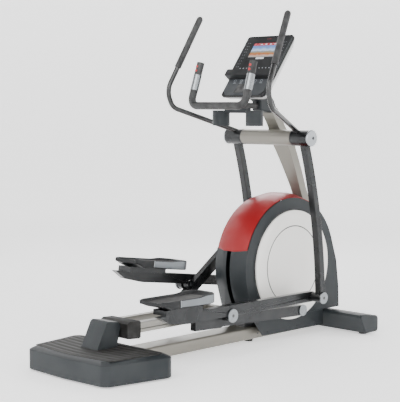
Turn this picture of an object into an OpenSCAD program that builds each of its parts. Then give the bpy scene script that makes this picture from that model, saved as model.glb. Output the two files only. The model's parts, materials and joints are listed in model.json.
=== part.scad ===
// Front-drive elliptical trainer with a centre ramp.
// X points the way the user faces, Y to the user's left, Z up. The origin is on the floor at the middle.

/* [Overall] */
// Length from the rear platform to the front stabilizer
overall_l = 2028; // [1900:1:2200]
// Length of the front stabilizer across the machine
stabilizer_w = 788; // [700:2:900]
// Distance from the crank axis forward to the front end
front_reach = 454; // [430:1:520]

/* [Drive] */
// Radius of the crank circle, half the stride
crank_r = 250; // [210:1:260]
// Height of the crank axis
crank_z = 422; // [410:1:460]
// Angle of the crank past straight up and down at rest
crank_rest = 2.5; // [0:0.5:6]
// Radius of the crank discs
disc_r = 312; // [290:1:320]
// Thickness of a crank disc
disc_t = 14; // [10:1:16]
// Gap between the housing side and a crank disc
disc_gap = 2; // [1.5:0.5:4]
// Outer radius of the housing around the crank
shell_r = 385; // [370:1:400]
// Half width of the housing over its flat sides
shell_half_w = 115; // [110:1:125]
// Rise of the housing crown above its side edge
crown = 22; // [8:1:26]
// Wall of the moulded shells
wall = 3; // [2.5:0.5:4]
// Radius of the drive pulley on the crank
pulley_r = 160; // [140:1:180]
// Radius of the small pulley on the flywheel
pinion_r = 22; // [18:1:30]
// Radius of the flywheel
flywheel_r = 122; // [100:1:124]

/* [Swing arms] */
// Distance of the arm pivots behind the crank axis
arm_back = 67; // [50:1:80]
// Height of the arm pivots
arm_z = 1147; // [1130:1:1180]
// Arm pivot to lower pivot
leg_len = 899.5; // [890:0.5:930]
// Side of the square leg tube
leg_w = 40; // [34:1:42]
// Distance of the lower legs from the middle at the top
leg_top_y = 252; // [250:1:256]
// Distance of the lower legs from the middle at the bottom
leg_low_y = 308; // [306:1:320]
// How far the leg bows forward
leg_bow = 34; // [20:1:45]
// Radius of the cross tube
cross_r = 44; // [40:1:48]
// Half length of the cross tube between the hubs
cross_half = 186.5; // [180:0.5:200]
// Radius of the stub axles in the hubs
stub_r = 20; // [16:1:24]
// Radius of the moving handle tube
handle_r = 14; // [12:0.5:15]
// Radius of the foam grip on the handle
foam_r = 18; // [17:0.5:22]

/* [Pedal linkage] */
// Lower pivot to middle pivot
link_len = 662.5; // [655:0.5:670]
// Crank pin to roller axle, along the roller arm
roller_back = 792; // [785:1:800]
// Height of the roller axle over the roller arm
roller_lift = 70; // [66:1:74]
// Crank pin to middle pivot, along the roller arm
mid_back = 630; // [620:1:640]
// Height of the middle pivot over the roller arm
mid_lift = 33; // [31:1:38]
// Height of the roller arm and pedal arm tubes
tube_h = 57; // [50:1:58]
// Width of the roller arm and pedal arm tubes
tube_w = 36; // [30:1:38]
// Distance of the roller arms from the middle
roller_arm_y = 190; // [188:1:192]
// Distance of the pedal arms from the middle
pedal_arm_y = 235; // [233:1:238]
// Radius of the roller wheels
wheel_r = 30; // [26:1:32]
// Width of a roller wheel
wheel_w = 30; // [24:1:34]
// Length of a pedal
pedal_l = 400; // [360:1:410]
// Width of a pedal
pedal_w = 180; // [160:1:184]
// Height of the pedal sides
pedal_h = 52; // [44:1:56]
// Radius of the pivot pins
pin_r = 10; // [8:0.5:12]
// Radial clearance of the running fits
fit = 0.05; // [0.03:0.01:0.08]

/* [Ramp and base] */
// Height of the rail tops
rail_top = 240; // [236:1:250]
// Height of a rail
rail_h = 52; // [44:1:54]
// Width of a rail
rail_w = 40; // [34:1:42]
// Distance of a rail's outer face from the middle
rail_out = 100; // [96:1:102]
// Width of the base beam
beam_w = 132; // [120:2:140]
// Height of the base beam
beam_h = 68; // [60:1:72]
// Underside of the base beam
beam_low = 22; // [20:1:26]
// Height of the rear platform
platform_h = 130; // [124:1:134]
// Length of the rear platform
platform_l = 411; // [380:1:430]
// Half width of the platform at its rear
platform_rear = 309; // [290:1:320]
// Half width of the platform at its front
platform_front = 364; // [340:1:380]

/* [Console and fixed handlebar] */
// Width of the console
console_w = 336; // [320:2:360]
// Height of the screen panel, along its slope
panel_h = 248; // [240:1:260]
// Lean of the console from vertical
console_lean = 37; // [30:1:42]
// Radius of the fixed handlebar
bar_r = 21; // [18:1:22]
// Half width of the fixed handlebar
bar_half = 204; // [200:1:206]

/* [Hidden] */

LEFT = 1;
RIGHT = -1;
gap = 0.3;         // between fixed pieces that meet
eps = 0.01;        // lets a cut run just past a face
far_out = 4000;    // larger than the machine, for cutting boxes

plastic = "#454d51";
steel = "#9a978e";
dark_steel = "#5a5e5d";
black = "#1c1d1f";
chrome = "#c9ccce";
red = "#a01c22";
white = "#e4e4e1";

// Main places in the side plane, as [x, z]
front_x = overall_l / 2;
rear_x = -overall_l / 2;
crank_c = [front_x - front_reach, crank_z];
arm_c = [crank_c[0] - arm_back, arm_z];
platform_end = rear_x + platform_l;
beam_top = beam_low + beam_h;
disc_in_y = shell_half_w + disc_gap;
disc_out_y = disc_in_y + disc_t;

// ---- Linkage at rest, worked out for each side ----
function turn(a, p) = [cos(a) * p[0] - sin(a) * p[1], sin(a) * p[0] + cos(a) * p[1]];
function heading(p) = atan2(p[1], p[0]);

wheel_z = rail_top + gap + wheel_r;
function crank_pin(s) = crank_c + s * crank_r * [sin(crank_rest), cos(crank_rest)];
roller_reach = norm([roller_back, roller_lift]);
// The roller arm leans so that its wheel rests on the rail
function roller_angle(s) =
    atan2(roller_lift, roller_back) - asin((wheel_z - crank_pin(s)[1]) / roller_reach);
function mid_pivot(s) = crank_pin(s) + turn(roller_angle(s), [-mid_back, mid_lift]);
function roller_axle(s) = crank_pin(s) + turn(roller_angle(s), [-roller_back, roller_lift]);
// The lower pivot is where the link and the leg meet, on the front side
function lower_pivot(s) =
    let (m = mid_pivot(s), d = arm_c - m, l = norm(d), u = d / l,
         along = (link_len ^ 2 - leg_len ^ 2 + l ^ 2) / (2 * l),
         off = sqrt(link_len ^ 2 - along ^ 2))
    m + along * u + off * [u[1], -u[0]];
function leg_angle(s) = let (d = lower_pivot(s) - arm_c) atan2(d[0], -d[1]);
// The pedal arm's own X axis runs forward along its tube, with the middle pivot under it
pedal_mid_drop = 27;
mid_in_arm = [-sqrt(link_len ^ 2 - pedal_mid_drop ^ 2), -pedal_mid_drop];
function pedal_arm_angle(s) = heading(mid_pivot(s) - lower_pivot(s)) - heading(mid_in_arm);

// ---- Placing helpers ----
module on_side(s) {
    if (s > 0) children();
    else mirror([0, 1, 0]) children();
}
module in_plane(p, a) {
    translate([p[0], 0, p[1]]) rotate([0, -a, 0]) children();
}
// A side-view outline, thickened from y0 to y1
module slab(y0, y1) {
    translate([0, y1, 0]) rotate([90, 0, 0]) linear_extrude(y1 - y0) children();
}
module cyl_y(y0, y1, r) {
    translate([0, y1, 0]) rotate([90, 0, 0]) cylinder(h = y1 - y0, r = r, $fn = 64);
}
module at(p) {
    translate([p[0], 0, p[1]]) children();
}
module box(x, y, z) {
    translate([x[0], y[0], z[0]]) cube([x[1] - x[0], y[1] - y[0], z[1] - z[0]]);
}
module rounded(w, h, r) {
    square([w - 2 * r, h], center = true);
    square([w, h - 2 * r], center = true);
    for (x = [-1, 1], y = [-1, 1]) translate([x * (w / 2 - r), y * (h / 2 - r)]) circle(r, $fn = 32);
}
// A rounded box tube along X, from x0 to x1
module box_tube_x(x0, x1, w, h, t, r) {
    translate([x0, 0, 0]) rotate([90, 0, 90]) linear_extrude(x1 - x0) difference() {
        rounded(w, h, r);
        rounded(w - 2 * t, h - 2 * t, r - t);
    }
}

// ---- Round tube through bends: straight cylinders and torus arcs ----
function unit(v) = v / norm(v);
function corner_angle(a, b, c) = acos(unit(b - a) * unit(c - b));
function setback(p, i, bend) = bend[i] * tan(corner_angle(p[i - 1], p[i], p[i + 1]) / 2);
lap = 2;           // straight lengths run this far into their bends
bend_thin = 0.1;   // a bend is this much thinner, as a drawn tube is
module along(a, b, r) {
    d = b - a;
    translate(a) rotate([0, acos(d[2] / norm(d)), atan2(d[1], d[0])])
        cylinder(h = norm(d), r = r, $fn = 48);
}
module bend_arc(a, b, c, bend, r) {
    t = unit(b - a);
    n = unit(cross(t, unit(c - b)));
    side = cross(n, t);
    start = b - t * bend * tan(corner_angle(a, b, c) / 2);
    centre = start + side * bend;
    // Columns: from the centre to the start, along the tube, and the bend's axis
    multmatrix([[-side[0], t[0], n[0], centre[0]], [-side[1], t[1], n[1], centre[1]],
                [-side[2], t[2], n[2], centre[2]], [0, 0, 0, 1]])
        rotate_extrude(angle = corner_angle(a, b, c), $fn = 96)
            translate([bend, 0]) circle(r - bend_thin, $fn = 48);
}
module bent_tube(p, bend, r) {
    last = len(p) - 1;
    for (i = [0 : last - 1]) {
        d = unit(p[i + 1] - p[i]);
        from = i == 0 ? 0 : setback(p, i, bend) - lap;
        to = i + 1 == last ? 0 : setback(p, i + 1, bend) - lap;
        along(p[i] + d * from, p[i + 1] - d * to, r);
    }
    for (i = [1 : last - 1]) bend_arc(p[i - 1], p[i], p[i + 1], bend[i], r);
}

// ---- Base and platform ----
stabilizer_back = 164;      // depth of the stabilizer cover at its top
stabilizer_h = 128;
stabilizer_back_x = front_x - stabilizer_back;
end_cap_t = 18;
cross_member_l = 50;
cross_member_half = 260;
cross_member_x = rear_x + 90;
tube_wall = 4;
foot_y = 220;               // rear feet, from the middle
foot_r = 24;
foot_pad_h = 12;
stem_r = 6;

module base_beam() color(steel) {
    h_mid = beam_low + beam_h / 2;
    translate([0, 0, h_mid])
        box_tube_x(cross_member_x + cross_member_l + gap, stabilizer_back_x - gap,
                   beam_w, beam_h, tube_wall, 12);
}
module rear_cross_member() color(dark_steel) difference() {
    x1 = cross_member_x + cross_member_l;
    box([cross_member_x, x1], [-cross_member_half, cross_member_half], [beam_low, beam_top]);
    box([cross_member_x + tube_wall, x1 - tube_wall], [-cross_member_half - 1, cross_member_half + 1],
        [beam_low + tube_wall, beam_top - tube_wall]);
    for (y = [-foot_y, foot_y]) translate([cross_member_x + cross_member_l / 2, y, 0])
        cylinder(h = beam_low + 10, r = stem_r + fit, $fn = 32);
}
// The stabilizer's top slopes down from its ridge to its nose
ridge_x = stabilizer_back_x + 22;
nose_x = front_x - 10;
nose_z = 108;
function stabilizer_top(x) = stabilizer_h - (x - ridge_x) * (stabilizer_h - nose_z) / (nose_x - ridge_x);
module stabilizer_outline() {
    polygon([[front_x - 112, 15], [nose_x, 15], [front_x, 26], [front_x, 92], [nose_x, nose_z],
             [ridge_x, stabilizer_h], [stabilizer_back_x + 6, stabilizer_h - 5],
             [stabilizer_back_x, stabilizer_h - 18]]);
}
stabilizer_inner = stabilizer_w / 2 - end_cap_t;
front_foot = [front_x - 60, stabilizer_inner - 46];
module front_stabilizer() color(plastic) difference() {
    slab(-stabilizer_inner, stabilizer_inner) stabilizer_outline();
    for (y = [-1, 1]) translate([front_foot[0], y * front_foot[1], 0])
        cylinder(h = 45, r = stem_r + fit, $fn = 32);
}
module stabilizer_end_caps() color(plastic)
    for (s = [LEFT, RIGHT]) on_side(s) slab(stabilizer_inner + gap, stabilizer_w / 2) stabilizer_outline();
module foot(x, y, stem_top) translate([x, y, 0]) {
    cylinder(h = foot_pad_h, r = foot_r, $fn = 48);
    cylinder(h = stem_top, r = stem_r, $fn = 32);
}
mid_foot_x = crank_c[0] - 235;
module levelling_feet() color(black) {
    for (y = [-1, 1]) {
        foot(cross_member_x + cross_member_l / 2, y * foot_y, beam_low + 3);
        foot(front_foot[0], y * front_foot[1], 40);
    }
    foot(mid_foot_x, 0, beam_low - gap);
}
platform_corner = 46;
// Plan outline of the platform, drawn in by o
module platform_plan(o) {
    x0 = rear_x + o;
    x1 = platform_end - o;
    r = platform_corner;
    hull() {
        for (s = [-1, 1]) {
            translate([x0 + r + 14, s * (platform_rear - o - r)]) circle(r, $fn = 32);
            translate([x1 - r, s * (platform_front - o - r)]) circle(r, $fn = 32);
        }
        translate([x0 + r, 0]) circle(r, $fn = 32);
    }
}
platform_low = 9;
mat_t = 6;
bevel = 16;
module platform_form(o, low) {
    hull() {
        translate([0, 0, low]) linear_extrude(platform_h - mat_t - bevel - low) platform_plan(o);
        translate([0, 0, platform_h - mat_t - o - 1]) linear_extrude(1) platform_plan(o + bevel * 1.6);
    }
}
module platform_cover() color(plastic) difference() {
    platform_form(0, platform_low);
    platform_form(wall + 1, platform_low - 1);
    box([platform_end - 60, platform_end + 1], [-beam_w / 2 - 1, beam_w / 2 + 1], [0, beam_top + 1]);
}
rib_pitch = 40;
rib_h = 5;
module platform_mat() color(black) difference() {
    union() {
        translate([0, 0, platform_h - mat_t + gap]) linear_extrude(mat_t - rib_h)
            platform_plan(bevel * 1.9);
        intersection() {
            translate([0, 0, platform_h - rib_h]) linear_extrude(rib_h) platform_plan(bevel * 2.2);
            for (x = [rear_x + 48 : rib_pitch : platform_end])
                box([x, x + rib_pitch - 12], [-far_out, far_out], [platform_h - rib_h - gap, platform_h]);
        }
    }
    box([bracket_x0 - 1, far_out], [-bracket_half - 1, bracket_half + 1], [0, far_out]);
}

// ---- Ramp ----
ramp_pin = [platform_end - 34, rail_top - 36];
ramp_pin_r = 12;
bracket_x0 = platform_end - 240;
bracket_half = 62;
tongue_half = 26;
cap_x = [platform_end - 78, platform_end + 12];
module ramp_pivot_bracket() color(plastic) {
    top_z = rail_top + 22;
    slab(-bracket_half, bracket_half) polygon([[bracket_x0, platform_h], [bracket_x0 + 62, top_z - 8],
        [bracket_x0 + 76, top_z], [cap_x[0] - 22, top_z - 10], [cap_x[0] - 10, top_z - 34],
        [cap_x[0] - 34, platform_h]]);
    slab(-tongue_half, tongue_half) {
        polygon([[cap_x[0] - 40, ramp_pin[1] - 24], [ramp_pin[0], ramp_pin[1] - 20],
                 [ramp_pin[0], ramp_pin[1] + 20], [cap_x[0] - 40, ramp_pin[1] + 26]]);
        translate(ramp_pin) circle(20, $fn = 48);
    }
    at(ramp_pin) cyl_y(-rail_out + 6, rail_out - 6, ramp_pin_r);
}
rail_x = [cap_x[1] + gap, crank_c[0] - 485];
lift_tip = crank_c[0] - 264;
screw_r = 8;
screw_x0 = lift_tip - 26;
fork_x = screw_x0 - 22;
fork_w = 40;
tongue_w = 20;
tongue_z = [rail_top - rail_h + 6, rail_top - rail_h + 40];
module rail() difference() {
    box(rail_x, [rail_out - rail_w, rail_out], [rail_top - rail_h, rail_top]);
    box([rail_x[0] - 1, rail_x[1] + 1], [rail_out - 5, rail_out + 1], [rail_top - 34, rail_top - 22]);
    box([rail_x[0] - 1, rail_x[1] - 8], [rail_out - rail_w + 4, rail_out - 9],
        [rail_top - rail_h + 4, rail_top - 4]);
}
module ramp_rails() color(chrome) {
    for (s = [LEFT, RIGHT]) on_side(s) rail();
    inner = rail_out - rail_w + eps;
    box([rail_x[1] - 40, rail_x[1]], [-inner, inner], [rail_top - rail_h + 4, rail_top - 6]);
    box([rail_x[1] - 20, fork_x], [-tongue_w / 2, tongue_w / 2], tongue_z);
    // The fork holds the screw loosely, because it swings on an arc
    difference() {
        box([fork_x - eps, lift_tip], [-fork_w / 2, fork_w / 2], tongue_z);
        box([screw_x0 - screw_r - 3, lift_tip + 1], [-screw_r - 1, screw_r + 1], [0, far_out]);
    }
}
module ramp_rear_cap() color(black) difference() {
    slab(-rail_out - 3, rail_out + 3) polygon([[cap_x[0], rail_top - 66], [cap_x[0] + 6, rail_top - 74],
        [cap_x[1] - 8, rail_top - 80], [cap_x[1], rail_top - 72], [cap_x[1], rail_top + 4],
        [cap_x[1] - 8, rail_top + 10], [cap_x[0] + 18, rail_top + 13], [cap_x[0], rail_top + 2]]);
    box([cap_x[0] - 1, ramp_pin[0] + 24], [-tongue_half - 0.5, tongue_half + 0.5],
        [rail_top - 90, ramp_pin[1] + 33]);
    at(ramp_pin) cyl_y(-rail_out + 5, rail_out - 5, ramp_pin_r + fit);
}

// ---- Mast, cross tube, hubs ----
mast_bend = 3000;
mast_t = 50;
mast_point = [crank_c[0] + 62, arm_z - 47];   // a point on the mast's curve
mast_slope = 30;                               // the mast's lean there
mast_c = mast_point - mast_bend * [cos(mast_slope), sin(mast_slope)];
mast_low_a = asin((stabilizer_h + 90 - mast_c[1]) / mast_bend);
mast_top_a = 34.5;
foot_x = mast_c[0] + mast_bend * cos(mast_low_a);
mast_foot = [foot_x - 46, foot_x + 24];   // the mast's foot on the stabilizer, from back to front
module mast_sweep(grow) {
    translate([mast_c[0], 0, mast_c[1]]) rotate([90, 0, 0]) rotate([0, 0, mast_low_a])
        rotate_extrude(angle = mast_top_a - mast_low_a, $fn = 360)
            translate([mast_bend - mast_t / 2 - grow, -80])
                square([mast_t + 2 * grow, 160]);
}
// The mast's half width, from the floor to the top, as seen from the front
mast_half = [32, 36, 58, 40, 36];
module mast_front(grow) {
    rotate([90, 0, 90]) linear_extrude(far_out, center = true) polygon([
        for (s = [1, -1]) each [for (i = [0 : 4]) let (
            k = s > 0 ? i : 4 - i,
            zs = [0, arm_z - 300, arm_z - 40, arm_z + 60, far_out],
            w = mast_half)
            [s * (w[k] + grow), zs[k]]]]);
}
module mast_body(grow) intersection() {
    mast_sweep(grow);
    mast_front(grow);
}
module mast() color(steel) difference() {
    union() {
        mast_body(0);
        slab(-mast_half[0], mast_half[0]) polygon([
            [mast_foot[0], stabilizer_top(mast_foot[0]) + gap],
            [mast_foot[1], stabilizer_top(mast_foot[1]) + gap],
            [mast_foot[1], stabilizer_h + 100], [mast_foot[0], stabilizer_h + 100]]);
    }
    at(arm_c) cyl_y(-cross_half, cross_half, cross_r + gap);
}
hub_r = 45;
hub_out_y = 306;
module cross_tube() color(steel) at(arm_c) {
    cyl_y(-cross_half, cross_half, cross_r);
    cyl_y(-hub_out_y + 4, hub_out_y - 4, stub_r);
}

// ---- Drive housing ----
arc_from = 20;
arc_to = 205;
low_points = [[-311, -295], [-244, -378], [330, -385], [440, -304], [435, -172], [412, -11]];
function grow_low(o) = o > 0 ? 1 + 0.1 * o / shell_r : 1 + o / shell_r;
module outline(o) {
    translate(crank_c) polygon(concat(
        [for (a = [arc_from : 5 : arc_to]) (shell_r + o) * [cos(a), sin(a)]],
        [for (p = low_points) p * grow_low(o)]));
}
seam = [242, 19.6];       // top cover's seam: its height over the crank axis and its slope
side_line = [46, -7.7];   // panel line on the flat side, in the same way
slot_half = 15;     // half width of the rear slot where the ramp's lift tongue moves
flat_half = 40;     // half width of the crown
shroud_top = 128;
module on_line(line) translate([crank_c[0], 0, crank_c[1] + line[0]]) rotate([0, -line[1], 0]) children();
module above_seam(o) on_line(seam) box([-far_out, far_out], [-far_out, far_out], [o, far_out]);
// The crowned half body, from the crown to the flat side, grown by o
module half_body(o) {
    hull() {
        slab(0, flat_half) outline(crown + o);
        slab(shell_half_w + o - eps, shell_half_w + o) outline(o);
    }
}
module stabilizer_room() box([stabilizer_back_x - 1, far_out], [-far_out, far_out], [-1, stabilizer_h + 1]);
// The crown from the rear seam over the top to the front seam, without the flat sides
module top_cover() color(red) difference() {
    for (s = [LEFT, RIGHT]) on_side(s) intersection() {
        difference() {
            half_body(0);
            half_body(-wall);
            box([-far_out, far_out], [shell_half_w - wall - 2, far_out], [-1, far_out]);
        }
        above_seam(0.5);
        box([-far_out, far_out], [-eps, far_out], [-1, far_out]);
    }
    mast_body(2);
}
module housing_shell(s) color(plastic) on_side(s) difference() {
    union() {
        slab(shell_half_w - wall, shell_half_w) outline(-wall - 0.6);
        difference() {
            half_body(0);
            half_body(-wall);
            above_seam(0);
            box([-far_out, crank_c[0]], [-far_out, slot_half], [-1, far_out]);
            box([-far_out, far_out], [-far_out, gap / 2], [-1, far_out]);
        }
    }
    at(crank_c) cyl_y(0, far_out, shaft_r + 20);
    stabilizer_room();
    box([-far_out, far_out], [-1, far_out], [-1, shroud_top + gap]);
    on_line(side_line) box([-far_out, far_out], [shell_half_w - 1, far_out], [-0.8, 0.8]);
    mast_body(4);
}
screw_x = [-205, 50, 270];   // shroud screws, ahead of the crank axis
shroud_screw_z = 62;
post_r = 6;
module base_shroud(s) color(plastic) on_side(s) difference() {
    union() {
        intersection() {
            slab(shell_half_w - wall, shell_half_w) outline(0);
            box([-far_out, far_out], [0, far_out], [0, shroud_top]);
        }
        for (x = screw_x) at([crank_c[0] + x, shroud_screw_z]) cyl_y(beam_w / 2 + gap, shell_half_w, post_r);
    }
    for (x = screw_x) at([crank_c[0] + x, shroud_screw_z]) cyl_y(shell_half_w - 2.5, far_out, post_r - 2);
    stabilizer_room();
}

// ---- Drive inside the housing ----
shaft_r = 12.5;
bearing_r = 26;
frame_y = [54, 62];
flywheel_c = crank_c + [185, -160];
flywheel_y = [-48, -18];
belt_y = [20, 40];
axle_r = 8;
module drive_frame() color(dark_steel) for (s = [LEFT, RIGHT]) on_side(s) difference() {
    slab(frame_y[0], frame_y[1]) polygon([
        crank_c + [-60, 40], crank_c + [-30, 62], crank_c + [30, 62], crank_c + [60, 40],
        flywheel_c + [50, 30], [flywheel_c[0] + 90, beam_top + gap], [crank_c[0] - 90, beam_top + gap]]);
    at(crank_c) cyl_y(0, far_out, bearing_r);
    at(flywheel_c) cyl_y(0, far_out, axle_r + fit);
}
module crank_bearings() color(chrome) for (s = [LEFT, RIGHT]) on_side(s) at(crank_c) difference() {
    cyl_y(frame_y[0], frame_y[1] + 8, bearing_r);
    cyl_y(0, far_out, shaft_r + fit);
}
module crank_shaft() color(dark_steel) at(crank_c) {
    cyl_y(-disc_in_y - 8, disc_in_y + 8, shaft_r);
}
module drive_pulley() color(black) at(crank_c) difference() {
    cyl_y(belt_y[0] - 3, belt_y[1] + 3, pulley_r - 1);
    for (a = [0 : 60 : 300]) rotate([0, a, 0]) translate([pulley_r * 0.6, 0, 0])
        cyl_y(-far_out, far_out, pulley_r / 5);
    cyl_y(-far_out, far_out, shaft_r);
}
// The belt runs round both pulleys, over their outer tangents
belt_d = norm(flywheel_c - crank_c);
belt_a = heading(flywheel_c - crank_c);
belt_open = acos((pulley_r - pinion_r) / belt_d);
module belt_outline(o) {
    translate(crank_c) circle(pulley_r + o, $fn = 96);
    translate(flywheel_c) circle(pinion_r + o, $fn = 96);
    translate(crank_c) polygon([
        (pulley_r + o) * [cos(belt_a + belt_open), sin(belt_a + belt_open)],
        (pulley_r + o) * [cos(belt_a - belt_open), sin(belt_a - belt_open)],
        flywheel_c - crank_c + (pinion_r + o) * [cos(belt_a - belt_open), sin(belt_a - belt_open)],
        flywheel_c - crank_c + (pinion_r + o) * [cos(belt_a + belt_open), sin(belt_a + belt_open)]]);
}
module drive_belt() color(black) slab(belt_y[0], belt_y[1]) difference() {
    belt_outline(3);
    belt_outline(gap);
}
module flywheel() color(steel) at(flywheel_c) {
    difference() {
        cyl_y(flywheel_y[0], flywheel_y[1], flywheel_r);
        cyl_y(flywheel_y[0] - 1, flywheel_y[0] + 9, flywheel_r - 22);
        cyl_y(flywheel_y[1] - 9, flywheel_y[1] + 1, flywheel_r - 22);
    }
    cyl_y(-frame_y[1] - 4, frame_y[1] + 4, axle_r);
    cyl_y(flywheel_y[1] - 10, belt_y[0] - 2, 20);
    cyl_y(belt_y[0] - 2, belt_y[1] + 2, pinion_r - gap);
}
module magnet_brake() color(dark_steel) difference() {
    translate([flywheel_c[0] - flywheel_r - 26, 0, flywheel_c[1] - 46])
        box([0, 46], [-frame_y[0] + gap, -8], [0, 44]);
    at(flywheel_c) cyl_y(flywheel_y[0] - 2.5, flywheel_y[1] + 2.5, flywheel_r + 5);
}
motor_half = 34;
motor_h = 74;
screw_l = 250;
module incline_motor() color(black) {
    box([screw_x0 - 14, screw_x0 + 64], [-motor_half, motor_half], [beam_top + gap, beam_top + motor_h]);
    translate([screw_x0, 0, beam_top + motor_h - 4]) cylinder(h = screw_l, r = screw_r, $fn = 32);
}
module crank_disc(s) color(white) on_side(s) at(crank_c) difference() {
    cyl_y(disc_in_y, disc_out_y, disc_r);
    cyl_y(disc_out_y - 1.5, far_out, disc_r * 0.714);
    cyl_y(0, disc_in_y + 8, shaft_r);
    at(s * crank_r * [sin(crank_rest), cos(crank_rest)]) cyl_y(disc_out_y - 2, far_out, 24);
}

// ---- Swing arms ----
leg_bend = (leg_len ^ 2 / 4 + leg_bow ^ 2) / (2 * leg_bow);
leg_half_a = asin(leg_len / 2 / leg_bend);
leg_splay = atan((leg_low_y - leg_top_y) / leg_len);
boss_r = 26;
pin_gap_y = pedal_arm_y + tube_w / 2 + 2;
module leg_sweep() {
    // The arc lies in the leg's own plane, which leans outward to its lower end
    rotate([leg_splay, 0, 0]) translate([-(leg_bend - leg_bow), 0, -leg_len / 2]) rotate([90, 0, 0])
        rotate([0, 0, -leg_half_a - 0.2]) rotate_extrude(angle = 2 * leg_half_a + 0.2, $fn = 360)
            translate([leg_bend - leg_w / 2, -leg_w / 2]) square(leg_w);
}
module lower_leg(s) color(dark_steel) on_side(s) in_plane(arm_c, leg_angle(s)) difference() {
    union() {
        translate([0, leg_top_y, 0]) leg_sweep();
        translate([0, 0, -leg_len]) cyl_y(pin_gap_y, leg_low_y + leg_w / 2 + 1.5, boss_r);
    }
    cyl_y(0, far_out, hub_r + gap);
    translate([0, 0, -leg_len]) cyl_y(0, far_out, pin_r + fit);
}
module arm_hub(s) color(dark_steel) on_side(s) at(arm_c) difference() {
    cyl_y(cross_half + 0.5, hub_out_y, hub_r);
    cyl_y(0, far_out, stub_r + fit);
}
cap_dome = 17;
module hub_cap(s) color(chrome) on_side(s) at(arm_c) translate([0, hub_out_y + gap, 0]) rotate([-90, 0, 0])
    rotate_extrude($fn = 96) polygon([[0, 0], [hub_r + 1, 0], [hub_r + 1, 5], [hub_r - 4, 11],
        [hub_r - 15, 15], [12, cap_dome], [0, cap_dome]]);

// The moving handle: out of the hub, back and outward, then up to the grip
handle_low = [arm_c[0] + 6, 222, arm_z + 22];
handle_corner = [crank_c[0] - 470, 370, arm_z + 168];
handle_elbow = [crank_c[0] - 508, 377, arm_z + 262];
handle_top = [crank_c[0] - 296, 328, arm_z + 664];
handle_path = [handle_low, handle_corner, handle_elbow, handle_top];
handle_bends = [0, 70, 110, 0];
foam_from = 150;
foam_dir = unit(handle_top - handle_elbow);
module swing_handle(s) color(black) on_side(s) difference() {
    bent_tube(handle_path, handle_bends, handle_r);
    at(arm_c) cyl_y(0, far_out, hub_r + gap);
}
module handle_grip(s) color(black) on_side(s) difference() {
    union() {
        along(handle_elbow + foam_dir * foam_from, handle_top + foam_dir * 4, foam_r);
        translate(handle_top + foam_dir * 4) sphere(r = foam_r - 2, $fn = 48);
    }
    along(handle_elbow, handle_top + foam_dir * gap, handle_r + fit);
}

// ---- Pedal arms ----
pedal_inner = pedal_arm_y + tube_w / 2 + 7 - pedal_w;
pin_cap_r = 32;
arm_back_end = -1150;
bracket_l = 260;           // length of the bracket under a pedal
pedal_floor = tube_h / 2 + 27;
module lower_pivot_pin(s) color(chrome) on_side(s) at(lower_pivot(s)) {
    cyl_y(pedal_arm_y - tube_w / 2, leg_low_y + leg_w / 2 + 3, pin_r);
    cyl_y(leg_low_y + leg_w / 2 + 2, leg_low_y + leg_w / 2 + 9, pin_cap_r);
}
arm_y = [pedal_arm_y - tube_w / 2, pedal_arm_y + tube_w / 2];
module pedal_arm(s) color(dark_steel) on_side(s) in_plane(lower_pivot(s), pedal_arm_angle(s)) difference() {
    union() {
        slab(arm_y[0], arm_y[1]) {
            polygon([[0, tube_h / 2], [arm_back_end - 40, tube_h / 2], [arm_back_end + 30, -12],
                     [arm_back_end + 160, -tube_h / 2], [0, -tube_h / 2]]);
            circle(tube_h / 2, $fn = 64);
            translate(mid_in_arm) circle(pin_cap_r, $fn = 64);
        }
        box([arm_back_end + 10, arm_back_end + 10 + bracket_l], [arm_y[0] - 60, arm_y[1]],
            [tube_h / 2 - eps, pedal_floor]);
    }
    cyl_y(0, far_out, pin_r + fit);
    translate([mid_in_arm[0], 0, mid_in_arm[1]]) cyl_y(0, far_out, pin_r + fit);
    // Hollow tube behind and ahead of the pivots
    slab(arm_y[0] + 4, arm_y[1] - 4) polygon([[-60, tube_h / 2 - 4], [arm_back_end, tube_h / 2 - 4],
        [arm_back_end + 160, -tube_h / 2 + 5], [mid_in_arm[0] - 60, -tube_h / 2 + 5],
        [mid_in_arm[0] - 40, 12], [mid_in_arm[0] + 40, 12], [mid_in_arm[0] + 60, -tube_h / 2 + 5],
        [-60, -tube_h / 2 + 5]]);
}
pedal_front = -770;
toe = 60;
module pedal_plan(o) hull() {
    y0 = pedal_inner + o;
    y1 = pedal_inner + pedal_w - o;
    translate([pedal_front - pedal_l + o, y0 + 8]) square([1, pedal_w - 2 * o - 16]);
    translate([pedal_front - pedal_l + 30 + o, y0]) square([1, pedal_w - 2 * o]);
    translate([pedal_front - toe, y0 + toe - o / 2]) circle(toe - o / 2, $fn = 48);
    translate([pedal_front - toe, y1 - toe + o / 2]) circle(toe - o / 2, $fn = 48);
}
module pedal(s) color(black) on_side(s) in_plane(lower_pivot(s), pedal_arm_angle(s)) difference() {
    translate([0, 0, pedal_floor + gap]) linear_extrude(pedal_h - gap) pedal_plan(0);
    translate([0, 0, pedal_floor + pedal_h - 16]) linear_extrude(far_out) pedal_plan(7);
    // Hollow underneath, round a solid block over the arm
    translate([0, 0, pedal_floor]) linear_extrude(pedal_h - 22) difference() {
        pedal_plan(5);
        translate([arm_back_end - 10, arm_y[0] - 66]) square([350, tube_w + 100]);
    }
}

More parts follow.
